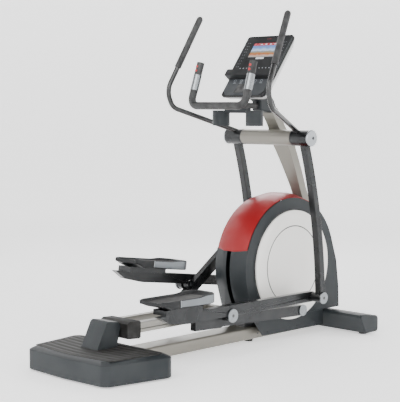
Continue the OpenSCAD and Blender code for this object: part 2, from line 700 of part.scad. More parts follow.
// ---- Roller arms ----
roller_y = [roller_arm_y - tube_w / 2, roller_arm_y + tube_w / 2];
axle_end_y = rail_out - rail_w / 2 - wheel_w / 2 - 6;
roller_end = -856;
stub_in_y = disc_out_y + 2;
axle_plate_t = 12;
module pivot_pins(s) color(chrome) on_side(s) {
    at(mid_pivot(s)) {
        cyl_y(roller_y[0] + 4, arm_y[1] + 2, pin_r);
        cyl_y(arm_y[1] + 1.5, arm_y[1] + 9, pin_cap_r + 4);
    }
    at(crank_pin(s)) {
        cyl_y(stub_in_y, roller_y[1] + 1, pin_r + 6);
        cyl_y(roller_y[1] + 0.5, roller_y[1] + 7, pin_cap_r);
    }
}
module roller_arm(s) color(dark_steel) on_side(s) in_plane(crank_pin(s), roller_angle(s)) difference() {
    union() {
        slab(roller_y[0], roller_y[1]) {
            polygon([[0, tube_h / 2], [roller_end, tube_h / 2], [roller_end, -tube_h / 2 - 5],
                     [roller_end + 190, -tube_h / 2 - 5], [roller_end + 205, -tube_h / 2],
                     [0, -tube_h / 2]]);
            circle(tube_h / 2, $fn = 64);
            translate([-mid_back, mid_lift]) circle(24, $fn = 64);
        }
        // The plate that carries the roller axle
        slab(roller_y[0] - axle_plate_t, roller_y[0] + eps) polygon([
            [-roller_back - 50, -10], [-roller_back + 70, -10],
            [-roller_back + 20, roller_lift + 18], [-roller_back - 20, roller_lift + 18]]);
        translate([-roller_back, 0, roller_lift]) cyl_y(axle_end_y, roller_y[0], axle_r);
    }
    cyl_y(0, far_out, pin_r + 6);
    translate([-mid_back, 0, mid_lift]) cyl_y(0, far_out, pin_r);
}
module roller_wheel(s) color(black) on_side(s) at(roller_axle(s)) difference() {
    mid = rail_out - rail_w / 2;
    cyl_y(mid - wheel_w / 2, mid + wheel_w / 2, wheel_r);
    cyl_y(0, far_out, axle_r + fit);
}

// ---- Console ----
panel_c = [crank_c[0] - 204, arm_z + 373];   // foot of the screen panel's face
neck_half = 34;
depth = 57;
// The console's own X is its outward normal and its Z runs up its slope
module in_console() {
    translate([panel_c[0], 0, panel_c[1]]) rotate([0, console_lean, 0]) mirror([1, 0, 0]) children();
}
ledge = [-55, -10];
lower_low = -172;
screen_u = [78, 205];
screen_half = 99;
face_t = 18;
module panel_plan(w, u0, u1, r) {
    hull() for (y = [-1, 1], u = [u0 + r, u1 - r]) translate([y * (w / 2 - r), u]) circle(r, $fn = 32);
}
// A flat plate of the console, from depth n0 to n1
module plate(n0, n1) translate([n0, 0, 0]) rotate([90, 0, 90]) linear_extrude(n1 - n0) children();
module console_front() color(black) in_console() difference() {
    union() {
        plate(-face_t, 0) panel_plan(console_w, ledge[0], panel_h, 14);
        plate(-face_t - 4, -5) panel_plan(console_w - 26, lower_low, ledge[0] + 30, 14);
        plate(-face_t, 30) panel_plan(console_w + 4, ledge[0], ledge[1], 9);
    }
    plate(-4, 50) panel_plan(2 * screen_half, screen_u[0], screen_u[1], 4);
    plate(-8, 50) panel_plan(118, lower_low + 18, lower_low + 72, 6);
}
module console_back() color(white) in_console() difference() {
    hull() {
        plate(-face_t - 6, -face_t - 4 - gap) panel_plan(console_w - 2, lower_low + 4, panel_h - 2, 20);
        plate(-depth, -depth + 1) panel_plan(console_w - 40, lower_low + 16, panel_h - 24, 24);
    }
    hull() {
        plate(-face_t - 6, -face_t)
            panel_plan(console_w - 2 - 2 * wall, lower_low + 4 + wall, panel_h - 5, 18);
        plate(-depth + wall, -depth + wall + 1)
            panel_plan(console_w - 40 - 2 * wall, lower_low + 16 + wall, panel_h - 27, 21);
    }
}
module display_screen() color("#283040") in_console()
    plate(-4 + gap, -1) panel_plan(2 * screen_half - 1, screen_u[0] + 0.5, screen_u[1] - 0.5, 3.5);

// Corners of the neck where it meets the console's back, in the side plane
function console_point(n, u) = panel_c + turn(-console_lean, [-n, u]);
mast_end = mast_c + (mast_bend) * [cos(mast_top_a), sin(mast_top_a)];
mast_across = mast_t / 2 * [cos(mast_top_a), sin(mast_top_a)];
mast_on = gap * [-sin(mast_top_a), cos(mast_top_a)];
bar_stem_r = 16;
bar_z = arm_z + 178;
stem_end = arm_c[0] - 108;
module console_neck() color(plastic)
    slab(-neck_half, neck_half) polygon([
        mast_end - mast_across + mast_on, mast_end + mast_across + mast_on,
        mast_end + mast_across + [-20, 40], console_point(-depth - gap, -8), console_point(-depth - gap, -128),
        [stem_end + gap, bar_z + 22], [stem_end + gap, bar_z - 26]]);

// ---- Fixed handlebar, pulse plates, buttons ----
bar_x = crank_c[0] - 486;
bar_corner = [bar_x - 8, bar_half, bar_z];
bar_tip = [crank_c[0] - 418, bar_half - 6, bar_z + 236];
function flip(p) = [p[0], -p[1], p[2]];
bar_dir = unit(bar_tip - bar_corner);
// Points to the user, square to the upright
button_n = unit([-bar_dir[2], 0, bar_dir[0]]);
button_r = 7;
button_at = [26, 50];         // down from the tip
button_depth = 6;
button_proud = 3;
module along_n(p, from, to, r) along(p + button_n * from, p + button_n * to, r);
module static_handlebar() color(black) difference() {
    union() {
        bent_tube([bar_tip, bar_corner, flip(bar_corner), flip(bar_tip)], [0, 52, 52, 0], bar_r);
        translate([0, 0, bar_z]) rotate([0, 90, 0]) translate([0, 0, bar_x])
            cylinder(h = stem_end - bar_x, r = bar_stem_r, $fn = 48);
    }
    for (s = [LEFT, RIGHT], d = button_at) on_side(s)
        along_n(bar_tip - bar_dir * d, bar_r - button_depth, bar_r + 20, button_r + 0.4);
}
module button(s, d) color(red) on_side(s)
    along_n(bar_tip - bar_dir * d, bar_r - button_depth + 2.5, bar_r + button_proud, button_r);
plate_span = [72, 160];       // down from the tip
plate_t = 1.6;
module pulse_plates() color(chrome) for (s = [LEFT, RIGHT], side = [-1, 1]) on_side(s) difference() {
    along(bar_tip - bar_dir * plate_span[1], bar_tip - bar_dir * plate_span[0], bar_r + plate_t);
    along(bar_tip - bar_dir * (plate_span[1] + 5), bar_tip - bar_dir * (plate_span[0] - 5), bar_r + fit);
    translate([0, bar_half - 4 - side * (far_out / 2 - 3), 0]) cube(far_out, center = true);
}
holder_y = 125;
holder_x = crank_c[0] - 330;
holder_r = 48;
holder_h = 84;
holder_top = bar_z - 26;
module bottle_holders() color(plastic) for (s = [LEFT, RIGHT]) on_side(s) {
    translate([holder_x, holder_y, holder_top - holder_h]) difference() {
        cylinder(h = holder_h, r = holder_r, $fn = 64);
        translate([0, 0, wall]) cylinder(h = holder_h, r = holder_r - wall, $fn = 64);
    }
    difference() {
        box([holder_x - 18, holder_x + 18], [-eps, holder_y], [holder_top - 14, holder_top + 12]);
        translate([holder_x, holder_y, 0]) cylinder(h = far_out, r = holder_r - wall / 2, $fn = 64);
        translate([0, 0, bar_z]) rotate([0, 90, 0])
            cylinder(h = far_out, r = bar_stem_r + gap, $fn = 48, center = true);
        box([-far_out, far_out], [holder_y - 20, far_out], [0, far_out]);
    }
}

base_beam();
rear_cross_member();
front_stabilizer();
stabilizer_end_caps();
levelling_feet();
platform_cover();
platform_mat();
ramp_pivot_bracket();
mast();
cross_tube();
housing_shell(LEFT);  // left_housing_shell
housing_shell(RIGHT);  // right_housing_shell
top_cover();
base_shroud(LEFT);  // left_base_shroud
base_shroud(RIGHT);  // right_base_shroud
console_neck();
console_front();
console_back();
display_screen();
bottle_holders();
static_handlebar();
pulse_plates();
drive_frame();
crank_bearings();
drive_belt();
incline_motor();
magnet_brake();
button(LEFT, button_at[0]);  // left_upper_button
button(LEFT, button_at[1]);  // left_lower_button
button(RIGHT, button_at[0]);  // right_upper_button
button(RIGHT, button_at[1]);  // right_lower_button
crank_shaft();
drive_pulley();
crank_disc(LEFT);  // left_crank_disc
crank_disc(RIGHT);  // right_crank_disc
flywheel();
ramp_rails();
ramp_rear_cap();
swing_handle(LEFT);  // left_swing_handle
handle_grip(LEFT);  // left_handle_grip
arm_hub(LEFT);  // left_arm_hub
hub_cap(LEFT);  // left_hub_cap
lower_leg(LEFT);  // left_lower_leg
lower_pivot_pin(LEFT);  // left_lower_pivot_pin
pedal_arm(LEFT);  // left_pedal_arm
pedal(LEFT);  // left_pedal
pivot_pins(LEFT);  // left_pivot_pins
roller_arm(LEFT);  // left_roller_arm
roller_wheel(LEFT);  // left_roller_wheel
swing_handle(RIGHT);  // right_swing_handle
handle_grip(RIGHT);  // right_handle_grip
arm_hub(RIGHT);  // right_arm_hub
hub_cap(RIGHT);  // right_hub_cap
lower_leg(RIGHT);  // right_lower_leg
lower_pivot_pin(RIGHT);  // right_lower_pivot_pin
pedal_arm(RIGHT);  // right_pedal_arm
pedal(RIGHT);  // right_pedal
pivot_pins(RIGHT);  // right_pivot_pins
roller_arm(RIGHT);  // right_roller_arm
roller_wheel(RIGHT);  // right_roller_wheel
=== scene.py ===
"""Elliptical trainer: finishes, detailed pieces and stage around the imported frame."""

import json
import math

import bmesh
import bpy
from mathutils import Matrix, Vector


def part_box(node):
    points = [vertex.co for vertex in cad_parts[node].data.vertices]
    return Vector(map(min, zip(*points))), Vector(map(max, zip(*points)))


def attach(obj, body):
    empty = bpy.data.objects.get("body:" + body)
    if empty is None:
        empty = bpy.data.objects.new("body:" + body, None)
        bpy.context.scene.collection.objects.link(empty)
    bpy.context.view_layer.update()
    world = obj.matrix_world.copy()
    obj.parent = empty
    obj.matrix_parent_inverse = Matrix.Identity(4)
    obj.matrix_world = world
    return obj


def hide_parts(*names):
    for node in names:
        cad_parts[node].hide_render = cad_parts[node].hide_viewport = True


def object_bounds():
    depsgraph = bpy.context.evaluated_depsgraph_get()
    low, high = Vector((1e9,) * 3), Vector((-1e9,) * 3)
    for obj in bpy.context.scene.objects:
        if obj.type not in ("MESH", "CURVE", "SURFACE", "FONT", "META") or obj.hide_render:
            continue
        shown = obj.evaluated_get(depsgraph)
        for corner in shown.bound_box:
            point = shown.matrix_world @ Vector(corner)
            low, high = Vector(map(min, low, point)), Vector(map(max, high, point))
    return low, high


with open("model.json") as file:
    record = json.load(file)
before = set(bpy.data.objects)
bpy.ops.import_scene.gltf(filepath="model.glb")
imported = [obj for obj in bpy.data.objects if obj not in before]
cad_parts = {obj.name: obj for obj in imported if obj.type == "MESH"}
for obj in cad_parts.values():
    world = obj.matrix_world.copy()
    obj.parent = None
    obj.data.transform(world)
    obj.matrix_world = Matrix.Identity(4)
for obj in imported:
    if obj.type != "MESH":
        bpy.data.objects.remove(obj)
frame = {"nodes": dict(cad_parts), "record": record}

bl_info = {
    "name": "Elliptical Trainer",
    "version": (1, 0, 0),
    "blender": (4, 5, 0),
    "location": "View3D > Sidebar > Trainer",
    "description": "Builds the visible pieces of a front-drive elliptical trainer on its frame",
    "category": "Object",
}

MM = 0.001
CAD_BOX = [list(corner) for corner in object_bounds()]
LOW, HIGH = Vector(CAD_BOX[0]), Vector(CAD_BOX[1])
SIDES = {"left": 1, "right": -1}
JOINTS = {joint["name"]: joint for joint in frame["record"]["behaviour"]["joints"]}


def joint_at(name):
    """Where a joint sits at rest, in the frame."""
    return Vector(JOINTS[name]["pos_m"])


def linear(hex_colour):
    """An sRGB hex colour as linear RGBA."""
    parts = [int(hex_colour[i : i + 2], 16) / 255 for i in (1, 3, 5)]
    return tuple(c / 12.92 if c <= 0.04045 else ((c + 0.055) / 1.055) ** 2.4 for c in parts) + (1.0,)


# ---------------------------------------------------------------- settings


def length(name, description, default_mm, low_mm=0.1, high_mm=1000.0):
    """A length that a user can change, given in millimetres."""
    return bpy.props.FloatProperty(
        name=name, description=description, default=default_mm * MM,
        min=low_mm * MM, max=high_mm * MM, unit="LENGTH", subtype="DISTANCE",
    )


def colour(name, description, hex_colour):
    """A colour that a user can change."""
    return bpy.props.FloatVectorProperty(
        name=name, description=description, default=linear(hex_colour)[:3],
        size=3, min=0.0, max=1.0, subtype="COLOR",
    )


class TrainerFinishes(bpy.types.PropertyGroup):
    """Colours of the painted and moulded pieces."""

    frame_paint: colour("Frame paint", "Powder coat on the beam, mast and cross tube", "#7f7c74")
    arm_paint: colour("Arm paint", "Powder coat on the legs and link arms", "#191b1d")
    housing: colour("Housing", "Moulded shells, platform and stabilizer", "#1d2225")
    cover: colour("Top cover", "Lacquer on the top cover", "#86040b")
    disc: colour("Discs", "Faces of the crank discs", "#eceae6")
    side_panel: colour("Pedal panel", "Anodised panels on the pedals", "#74797d")


class TrainerConsole(bpy.types.PropertyGroup):
    """Sizes of the console's parts, on its sloping face."""

    lean: bpy.props.FloatProperty(
        name="Lean", description="Lean of the console's face from upright",
        default=math.radians(37), min=0.0, max=1.2, subtype="ANGLE",
    )
    half_width: length("Half width", "Half width of the face", 168)
    key: length("Key", "Side of a small key", 8)
    key_pitch: length("Key pitch", "Distance between keys in a column", 21)
    column: length("Key column", "Distance of the key columns from the middle", 136)
    pocket_half: length("Pocket", "Half width of the pocket at its top", 62)


class TrainerPedals(bpy.types.PropertyGroup):
    """Sizes of the pedals."""

    rim: length("Rim", "Thickness of the pedal's rim", 7)
    panel_proud: length("Panel", "How far the side panels stand out", 1.5)
    tread_pitch: length("Tread pitch", "Distance between the tread's ribs", 11)
    tread_rise: length("Tread rise", "Height of the tread's ribs", 2.2)


class TrainerBase(bpy.types.PropertyGroup):
    """Sizes of the rear platform's mat and the fasteners."""

    ridge: length("Ridge", "Distance between the mat's ridges", 42)
    ridge_rise: length("Ridge rise", "Height of the mat's ridges", 4.5)
    screw: length("Screw", "Radius of the shrouds' screw heads", 5.4)


class TrainerStage(bpy.types.PropertyGroup):
    """Floor, lights and camera."""

    floor: colour("Floor", "Colour of the floor and backdrop", "#fbfbfb")
    glow: bpy.props.FloatProperty(
        name="Glow", description="How much the paper glows", default=0.78, min=0.0, max=2.0
    )
    key_power: bpy.props.FloatProperty(
        name="Key light", description="Power of the key light", default=95.0, min=0.0, unit="POWER"
    )
    fill_power: bpy.props.FloatProperty(
        name="Fill light", description="Power of the fill light", default=24.0, min=0.0, unit="POWER"
    )
    rim_power: bpy.props.FloatProperty(
        name="Rim light", description="Power of the light behind", default=60.0, min=0.0, unit="POWER"
    )
    lens: bpy.props.FloatProperty(
        name="Lens", description="Focal length of the camera", default=105.6, min=10.0, unit="CAMERA"
    )


SETTINGS = {
    "trainer_finishes": TrainerFinishes,
    "trainer_console": TrainerConsole,
    "trainer_pedals": TrainerPedals,
    "trainer_base": TrainerBase,
    "trainer_stage": TrainerStage,
}


# ---------------------------------------------------------------- materials


def add_node(tree, kind, settings=None, links=None):
    """Adds a shader node with its settings and its incoming links."""
    node = tree.nodes.new(kind)
    for name, value in (settings or {}).items():
        if isinstance(name, int) or name in node.inputs:
            node.inputs[name].default_value = value
        else:
            setattr(node, name, value)
    for name, source in (links or {}).items():
        tree.links.new(source, node.inputs[name])
    return node


def mixed(base, toward, share):
    """A colour part of the way from base to toward."""
    return tuple(b + (t - b) * share for b, t in zip(base[:3], toward[:3])) + (1.0,)


BLACK = (0.0, 0.0, 0.0)
WHITE = (1.0, 1.0, 1.0)


def surface(name, base, rough, blotch_mm, grain_mm, relief_mm, vary=0.06, stretch=(1, 1, 1),
            cells=False, **shader):
    """A finish whose colour and gloss drift over blotch_mm, with a relief of grain_mm and relief_mm."""
    if name in bpy.data.materials:
        return bpy.data.materials[name]
    material = bpy.data.materials.new(name)
    material.use_nodes = True
    tree = material.node_tree
    tree.nodes.clear()
    place = add_node(tree, "ShaderNodeTexCoord").outputs["Object"]
    scaled = add_node(tree, "ShaderNodeMapping", {"Scale": stretch}, {"Vector": place}).outputs["Vector"]
    drift = add_node(
        tree, "ShaderNodeTexNoise", {"Scale": 1 / (blotch_mm * MM), "Detail": 4.0}, {"Vector": scaled}
    ).outputs["Fac"]
    tint = add_node(tree, "ShaderNodeValToRGB", None, {"Fac": drift})
    tint.color_ramp.elements[0].position = 0.3
    tint.color_ramp.elements[1].position = 0.7
    tint.color_ramp.elements[0].color = mixed(base, BLACK, vary)
    tint.color_ramp.elements[1].color = mixed(base, WHITE, vary * 0.35)
    gloss = add_node(
        tree, "ShaderNodeMapRange",
        {"From Min": 0.3, "From Max": 0.7, "To Min": rough[0], "To Max": rough[1]}, {"Value": drift},
    ).outputs["Result"]
    if cells:
        grain = add_node(
            tree, "ShaderNodeTexVoronoi", {"Scale": 1 / (grain_mm * MM)}, {"Vector": scaled}
        ).outputs["Distance"]
    else:
        grain = add_node(
            tree, "ShaderNodeTexNoise", {"Scale": 1 / (grain_mm * MM), "Detail": 2.0}, {"Vector": scaled}
        ).outputs["Fac"]
    relief = add_node(
        tree, "ShaderNodeBump", {"Distance": relief_mm * MM, "Strength": 1.0}, {"Height": grain}
    ).outputs["Normal"]
    bsdf = add_node(
        tree, "ShaderNodeBsdfPrincipled", shader,
        {"Base Color": tint.outputs["Color"], "Roughness": gloss, "Normal": relief},
    )
    add_node(tree, "ShaderNodeOutputMaterial", None, {"Surface": bsdf.outputs["BSDF"]})
    return material


def chosen(name):
    """A colour from the scene's finishes."""
    return tuple(getattr(bpy.context.scene.trainer_finishes, name))


def powder_coated_steel():
    """Powder coat over steel: baked melt leaves a fine orange peel and a metallic fleck."""
    return surface("powder_coated_steel", chosen("frame_paint"), (0.30, 0.40), 160, 2.2,
                   0.012, vary=0.03, Metallic=0.55, IOR=1.5)


def graphite_powder_coat():
    """Dark metallic powder coat: smoother and glossier than the frame's."""
    return surface("graphite_powder_coat", chosen("arm_paint"), (0.24, 0.34), 140, 2.0,
                   0.010, vary=0.04, Metallic=0.72, IOR=1.5, **{"Coat Weight": 0.35, "Coat Roughness": 0.2})


def black_stove_enamel():
    """Baked black enamel on the bent tubes of the moving handles: a tight gloss."""
    return surface("black_stove_enamel", linear("#101112"), (0.20, 0.30), 120, 3.0, 0.006, vary=0.06,
                   Metallic=0.35, IOR=1.5, **{"Coat Weight": 0.5, "Coat Roughness": 0.12})


def textured_abs():
    """Injection-moulded ABS from a spark-eroded tool: a fine sand grain that scatters the light."""
    return surface("textured_abs", chosen("housing"), (0.40, 0.50), 220, 1.1, 0.015,
                   vary=0.04, IOR=1.53, **{"Specular IOR Level": 0.25})


def lacquered_abs():
    """ABS with a red metallic lacquer and clear coat: a broad soft highlight."""
    return surface("lacquered_abs", chosen("cover"), (0.30, 0.38), 180, 1.4, 0.01,
                   vary=0.04, Metallic=0.10, IOR=1.5,
                   **{"Coat Weight": 0.1, "Coat Roughness": 0.25, "Specular IOR Level": 0.25})


def pearl_abs():
    """ABS in pearl paint: near white, satin."""
    return surface("pearl_abs", chosen("disc"), (0.32, 0.40), 200, 1.6, 0.012,
                   vary=0.03, Metallic=0.10, IOR=1.5, **{"Coat Weight": 0.2, "Coat Roughness": 0.3})


def silver_abs():
    """ABS in silver paint, on the console's back shell."""
    return surface("silver_abs", linear("#cfd0d0"), (0.30, 0.40), 150, 1.3, 0.02, vary=0.05,
                   Metallic=0.45, IOR=1.5)


def black_abs():
    """Black ABS with a satin eroded grain, on the console's face."""
    return surface("black_abs", linear("#101214"), (0.34, 0.44), 120, 0.9, 0.01, vary=0.05, IOR=1.53,
                   **{"Specular IOR Level": 0.2})


def slate_abs():
    """Slate ABS on the console's lower panel."""
    return surface("slate_abs", linear("#20262b"), (0.36, 0.46), 120, 0.9, 0.03, vary=0.12, IOR=1.53)


def chromed_steel():
    """Bright chrome plate: a mirror with faint buffing lines along the part."""
    return surface("chromed_steel", linear("#a4a8ac"), (0.14, 0.22), 90, 0.9, 0.004, vary=0.05,
                   stretch=(0.2, 1, 1), Metallic=1.0)


def satin_chrome():
    """Satin chrome on caps and plates: blasted before plating, so the reflections are soft."""
    return surface("satin_chrome", linear("#8b8f92"), (0.22, 0.32), 60, 0.7, 0.01, vary=0.08, Metallic=1.0)


def anodised_aluminium():
    """Extruded aluminium, etched and anodised: die lines run along its length."""
    return surface("anodised_aluminium", linear("#8d8b85"), (0.24, 0.34), 70, 1.2, 0.02, vary=0.08,
                   stretch=(0.04, 1, 1), Metallic=1.0)


def anodised_panel():
    """Blasted and anodised aluminium sheet on the pedals' sides."""
    return surface("anodised_panel", chosen("side_panel"), (0.34, 0.44), 80, 0.8, 0.015,
                   vary=0.06, Metallic=0.6, IOR=1.5)


def natural_rubber():
    """Compression-moulded black rubber: matte, slightly grey where it is touched."""
    return surface("natural_rubber", linear("#171614"), (0.55, 0.70), 60, 1.5, 0.02, vary=0.08, IOR=1.52,
                   **{"Specular IOR Level": 0.25})


def eva_foam():
    """Closed-cell foam sleeve: a skin of fine pores, drawn coarser than the real 0.3 mm ones."""
    return surface("eva_foam", linear("#0c0d0e"), (0.50, 0.60), 40, 2.4, 0.012, vary=0.10, cells=True,
                   IOR=1.5)


def urethane():
    """Cast urethane tyre on the rollers: smooth with a waxy sheen."""
    return surface("urethane", linear("#1c1d1e"), (0.28, 0.40), 30, 0.8, 0.01, vary=0.2, IOR=1.5)


def nylon():
    """Glass-filled nylon on the seals, screw caps and pulley: dark and slightly fibrous."""
    return surface("nylon", linear("#1d2022"), (0.42, 0.55), 50, 1.0, 0.03, vary=0.2, IOR=1.53)


def cast_iron():
    """Turned cast iron: open grain under fine lathe marks."""
    return surface("cast_iron", linear("#6b6b69"), (0.35, 0.50), 30, 0.8, 0.03, vary=0.25, Metallic=0.9)


def zinc_plated_steel():
    """Zinc plate on the magnet's bracket: a dull shine, slightly mottled."""
    return surface("zinc_plated_steel", linear("#8f9295"), (0.28, 0.42), 12, 0.6, 0.01, vary=0.15, Metallic=1.0)


def red_elastomer():
    """Soft moulded keys in translucent red silicone rubber."""
    return surface("red_elastomer", linear("#b3161f"), (0.30, 0.42), 12, 0.5, 0.01, vary=0.12, IOR=1.41)


def printed_legend():
    """Pale screen-printed ink on the keys."""
    return surface("printed_legend", linear("#8b9096"), (0.45, 0.55), 20, 0.5, 0.005, vary=0.15, IOR=1.5)


def unlit_gap():
    """Matte black as painted shade, inside the gaps between shells and in the discs' grooves and the console's
    pocket.
    """
    return surface("unlit_gap", linear("#08090a"), (0.75, 0.9), 40, 1.0, 0.02, vary=0.3, IOR=1.5)


def header_light():
    """The display's red bar, lit from behind."""
    return surface("header_light", linear("#a8182c"), (0.2, 0.3), 15, 1.0, 0.002, vary=0.25, IOR=1.5,
                   **{"Emission Color": linear("#a8182c"), "Emission Strength": 0.12})


def footer_light():
    """The display's pale line, lit from behind."""
    return surface("footer_light", linear("#d5d8da"), (0.2, 0.3), 15, 1.0, 0.002, vary=0.2, IOR=1.5,
                   **{"Emission Color": linear("#d5d8da"), "Emission Strength": 0.12})


def lit_landscape(low, high):
    """The display's picture: a made-up plain with hills under a sky, graded from low to high."""
    material = bpy.data.materials.new("lit_landscape")
    material.use_nodes = True
    tree = material.node_tree
    tree.nodes.clear()
    place = add_node(tree, "ShaderNodeTexCoord").outputs["Object"]
    parts = add_node(tree, "ShaderNodeSeparateXYZ", None, {"Vector": place})
    height = add_node(
        tree, "ShaderNodeMapRange", {"From Min": low, "From Max": high, "To Min": 0.0, "To Max": 1.0},
        {"Value": parts.outputs["Y"]},
    ).outputs["Result"]
    ground = add_node(
        tree, "ShaderNodeTexNoise", {"Scale": 1 / (28 * MM), "Detail": 6.0}, {"Vector": place}
    ).outputs["Fac"]
    ragged = add_node(
        tree, "ShaderNodeMath", {"operation": "MULTIPLY_ADD", 1: 0.34}, {0: ground, 2: height}
    ).outputs["Value"]
    view = add_node(tree, "ShaderNodeValToRGB", None, {"Fac": ragged})
    ramp = view.color_ramp
    bands = [(0.14, "#8b8f96"), (0.30, "#a58f7c"), (0.42, "#a4552f"), (0.56, "#8a7a58"),
             (0.66, "#77808a"), (0.74, "#a9b9cf"), (0.90, "#7f9cc6"), (1.0, "#5f7fb4")]
    ramp.elements[0].position, ramp.elements[0].color = 0.0, linear("#6e7078")
    for position, tone in bands[:-1]:
        ramp.elements.new(position).color = linear(tone)
    ramp.elements[-1].color = linear(bands[-1][1])
    bsdf = add_node(
        tree, "ShaderNodeBsdfPrincipled", {"Roughness": 0.18, "Emission Strength": 0.12},
        {"Base Color": view.outputs["Color"], "Emission Color": view.outputs["Color"]},
    )
    add_node(tree, "ShaderNodeOutputMaterial", None, {"Surface": bsdf.outputs["BSDF"]})
    return material


# ---------------------------------------------------------------- mesh making


def dress(nodes, material, bevel_mm=0.0, segments=2):
    """Gives CAD nodes their finish, and breaks their sharp edges."""
    for name in nodes:
        node = frame["nodes"][name]
        for held in node.material_slots:
            held.material = material
        soften(node, bevel_mm * MM, segments)


SHARP = 35        # degrees: an edge that turns more than this on a CAD node stays an edge


def shading_group():
    """Geometry nodes that shade a mesh smooth, except across its sharp edges."""
    name = f"smooth_under_{SHARP}"
    if name in bpy.data.node_groups:
        return bpy.data.node_groups[name]
    tree = bpy.data.node_groups.new(name, "GeometryNodeTree")
    tree.interface.new_socket("Geometry", in_out="INPUT", socket_type="NodeSocketGeometry")
    tree.interface.new_socket("Geometry", in_out="OUTPUT", socket_type="NodeSocketGeometry")
    source = add_node(tree, "NodeGroupInput").outputs[0]
    turn = add_node(tree, "GeometryNodeInputMeshEdgeAngle").outputs["Unsigned Angle"]
    sharp = add_node(tree, "FunctionNodeCompare", {"data_type": "FLOAT", "operation": "GREATER_THAN",
                                                   1: math.radians(SHARP)}, {0: turn}).outputs["Result"]
    faces = add_node(tree, "GeometryNodeSetShadeSmooth", {"domain": "FACE", "Shade Smooth": True},
                     {"Geometry": source})
    edges = add_node(tree, "GeometryNodeSetShadeSmooth", {"domain": "EDGE", "Shade Smooth": False},
                     {"Geometry": faces.outputs[0], "Selection": sharp})
    add_node(tree, "NodeGroupOutput", None, {0: edges.outputs[0]})
    return tree


def soften(piece, width, segments=2):
    """Shades the piece smooth and rounds its sharp edges."""
    weld = piece.modifiers.new("weld", "WELD")
    weld.merge_threshold = 0.02 * MM
    smooth = piece.modifiers.new("smooth", "NODES")
    smooth.node_group = shading_group()
    if not width:
        return
    bevel = piece.modifiers.new("edges", "BEVEL")
    bevel.width = width
    bevel.segments = segments
    bevel.limit_method = "ANGLE"
    bevel.angle_limit = math.radians(SHARP)
    bevel.use_clamp_overlap = True
    shade = piece.modifiers.new("shading", "WEIGHTED_NORMAL")
    shade.keep_sharp = True


def piece(name, verts, faces, material, body, slot, place=None, bevel=0.0, smooth=40):
    """A mesh that rides on a body, in place's own axes."""
    mesh = bpy.data.meshes.new(name)
    build = bmesh.new()
    made = [build.verts.new(v) for v in verts]
    for face in faces:
        build.faces.new([made[i] for i in face])
    bmesh.ops.recalc_face_normals(build, faces=build.faces)
    build.to_mesh(mesh)
    build.free()
    mesh.polygons.foreach_set("use_smooth", [True] * len(mesh.polygons))
    mesh.set_sharp_from_angle(angle=math.radians(smooth))
    mesh.materials.append(material)
    obj = bpy.data.objects.new(name, mesh)
    bpy.context.collection.objects.link(obj)
    if place is not None:
        obj.matrix_world = place
    if bevel:
        soften(obj, bevel)
    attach(obj, body)
    return obj


def joined(*shapes):
    """Several (verts, faces) shapes as one."""
    verts, faces = [], []
    for more_verts, more_faces in shapes:
        start = len(verts)
        verts += [Vector(v) for v in more_verts]
        faces += [tuple(start + i for i in face) for face in more_faces]
    return verts, faces


def moved(shape, place):
    """A shape put through a matrix."""
    return [place @ Vector(v) for v in shape[0]], shape[1]


def lathe(profile, steps=96):
    """Turns an (r, z) outline round Z. A radius of 0 closes the end."""
    verts, rings = [], []
    for r, z in profile:
        if r == 0:
            rings.append([len(verts)] * steps)
            verts.append(Vector((0, 0, z)))
        else:
            rings.append(list(range(len(verts), len(verts) + steps)))
            turn = [2 * math.pi * i / steps for i in range(steps)]
            verts += [Vector((r * math.cos(a), r * math.sin(a), z)) for a in turn]
    faces = []
    for low, high in zip(rings, rings[1:]):
        for i in range(steps):
            j = (i + 1) % steps
            face = list(dict.fromkeys((low[i], low[j], high[j], high[i])))
            if len(face) > 2:
                faces.append(tuple(face))
    return verts, faces


def prism(outline, low, high):
    """An outline in XY, raised from low to high."""
    count = len(outline)
    verts = [Vector((x, y, z)) for z in (low, high) for x, y in outline]
    sides = [(i, (i + 1) % count, count + (i + 1) % count, count + i) for i in range(count)]
    return verts, [tuple(range(count - 1, -1, -1)), tuple(range(count, 2 * count))] + sides


def arc(centre, radius, start, end, steps=8):
    """Points along an arc, in degrees."""
    turns = [math.radians(start + (end - start) * i / steps) for i in range(steps + 1)]
    return [(centre[0] + radius * math.cos(a), centre[1] + radius * math.sin(a)) for a in turns]


def rounded_box(x, y, radius, steps=6):
    """The outline of a rectangle from x[0] to x[1] and y[0] to y[1] with round corners."""
    corners = [((x[1], y[1]), 0), ((x[0], y[1]), 90), ((x[0], y[0]), 180), ((x[1], y[0]), 270)]
    outline = []
    for (cx, cy), start in corners:
        centre = (cx - math.copysign(radius, cx - sum(x) / 2), cy - math.copysign(radius, cy - sum(y) / 2))
        outline += arc(centre, radius, start, start + 90, steps)
    return outline


def axes(origin, x, z):
    """A place with its own X along x and Z along z."""
    z = Vector(z).normalized()
    y = z.cross(Vector(x)).normalized()
    return Matrix.Translation(origin) @ Matrix((y.cross(z), y, z)).transposed().to_4x4()


def outward(side):
    """The direction away from the middle, on a side."""
    return Vector((0, SIDES[side], 0))


def loft(rings):
    """Joins rings of equally many points into a skin with closed ends."""
    count = len(rings[0])
    verts = [Vector(p) for ring in rings for p in ring]
    faces = []
    for k in range(len(rings) - 1):
        for i in range(count):
            j = (i + 1) % count
            faces.append((k * count + i, k * count + j, (k + 1) * count + j, (k + 1) * count + i))
    faces += [tuple(range(count)), tuple(range(len(verts) - count, len(verts)))]
    return verts, faces


def centre_of(node):
    """The middle of a node's box."""
    low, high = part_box(node)
    return (low + high) / 2


# ---------------------------------------------------------------- fixed frame


SEAL_IN = 0.006           # how far a hub's seal reaches into the cross tube's wall
SEAL_DEEP = 0.0035        # its length along the tube
SEAL_LIP = 0.0012         # how far it stands above the tube
WELD_RADIUS = 0.0035
WELD_FROM, WELD_TURN, WELD_STEPS = -150, 120, 32     # degrees round the cross tube


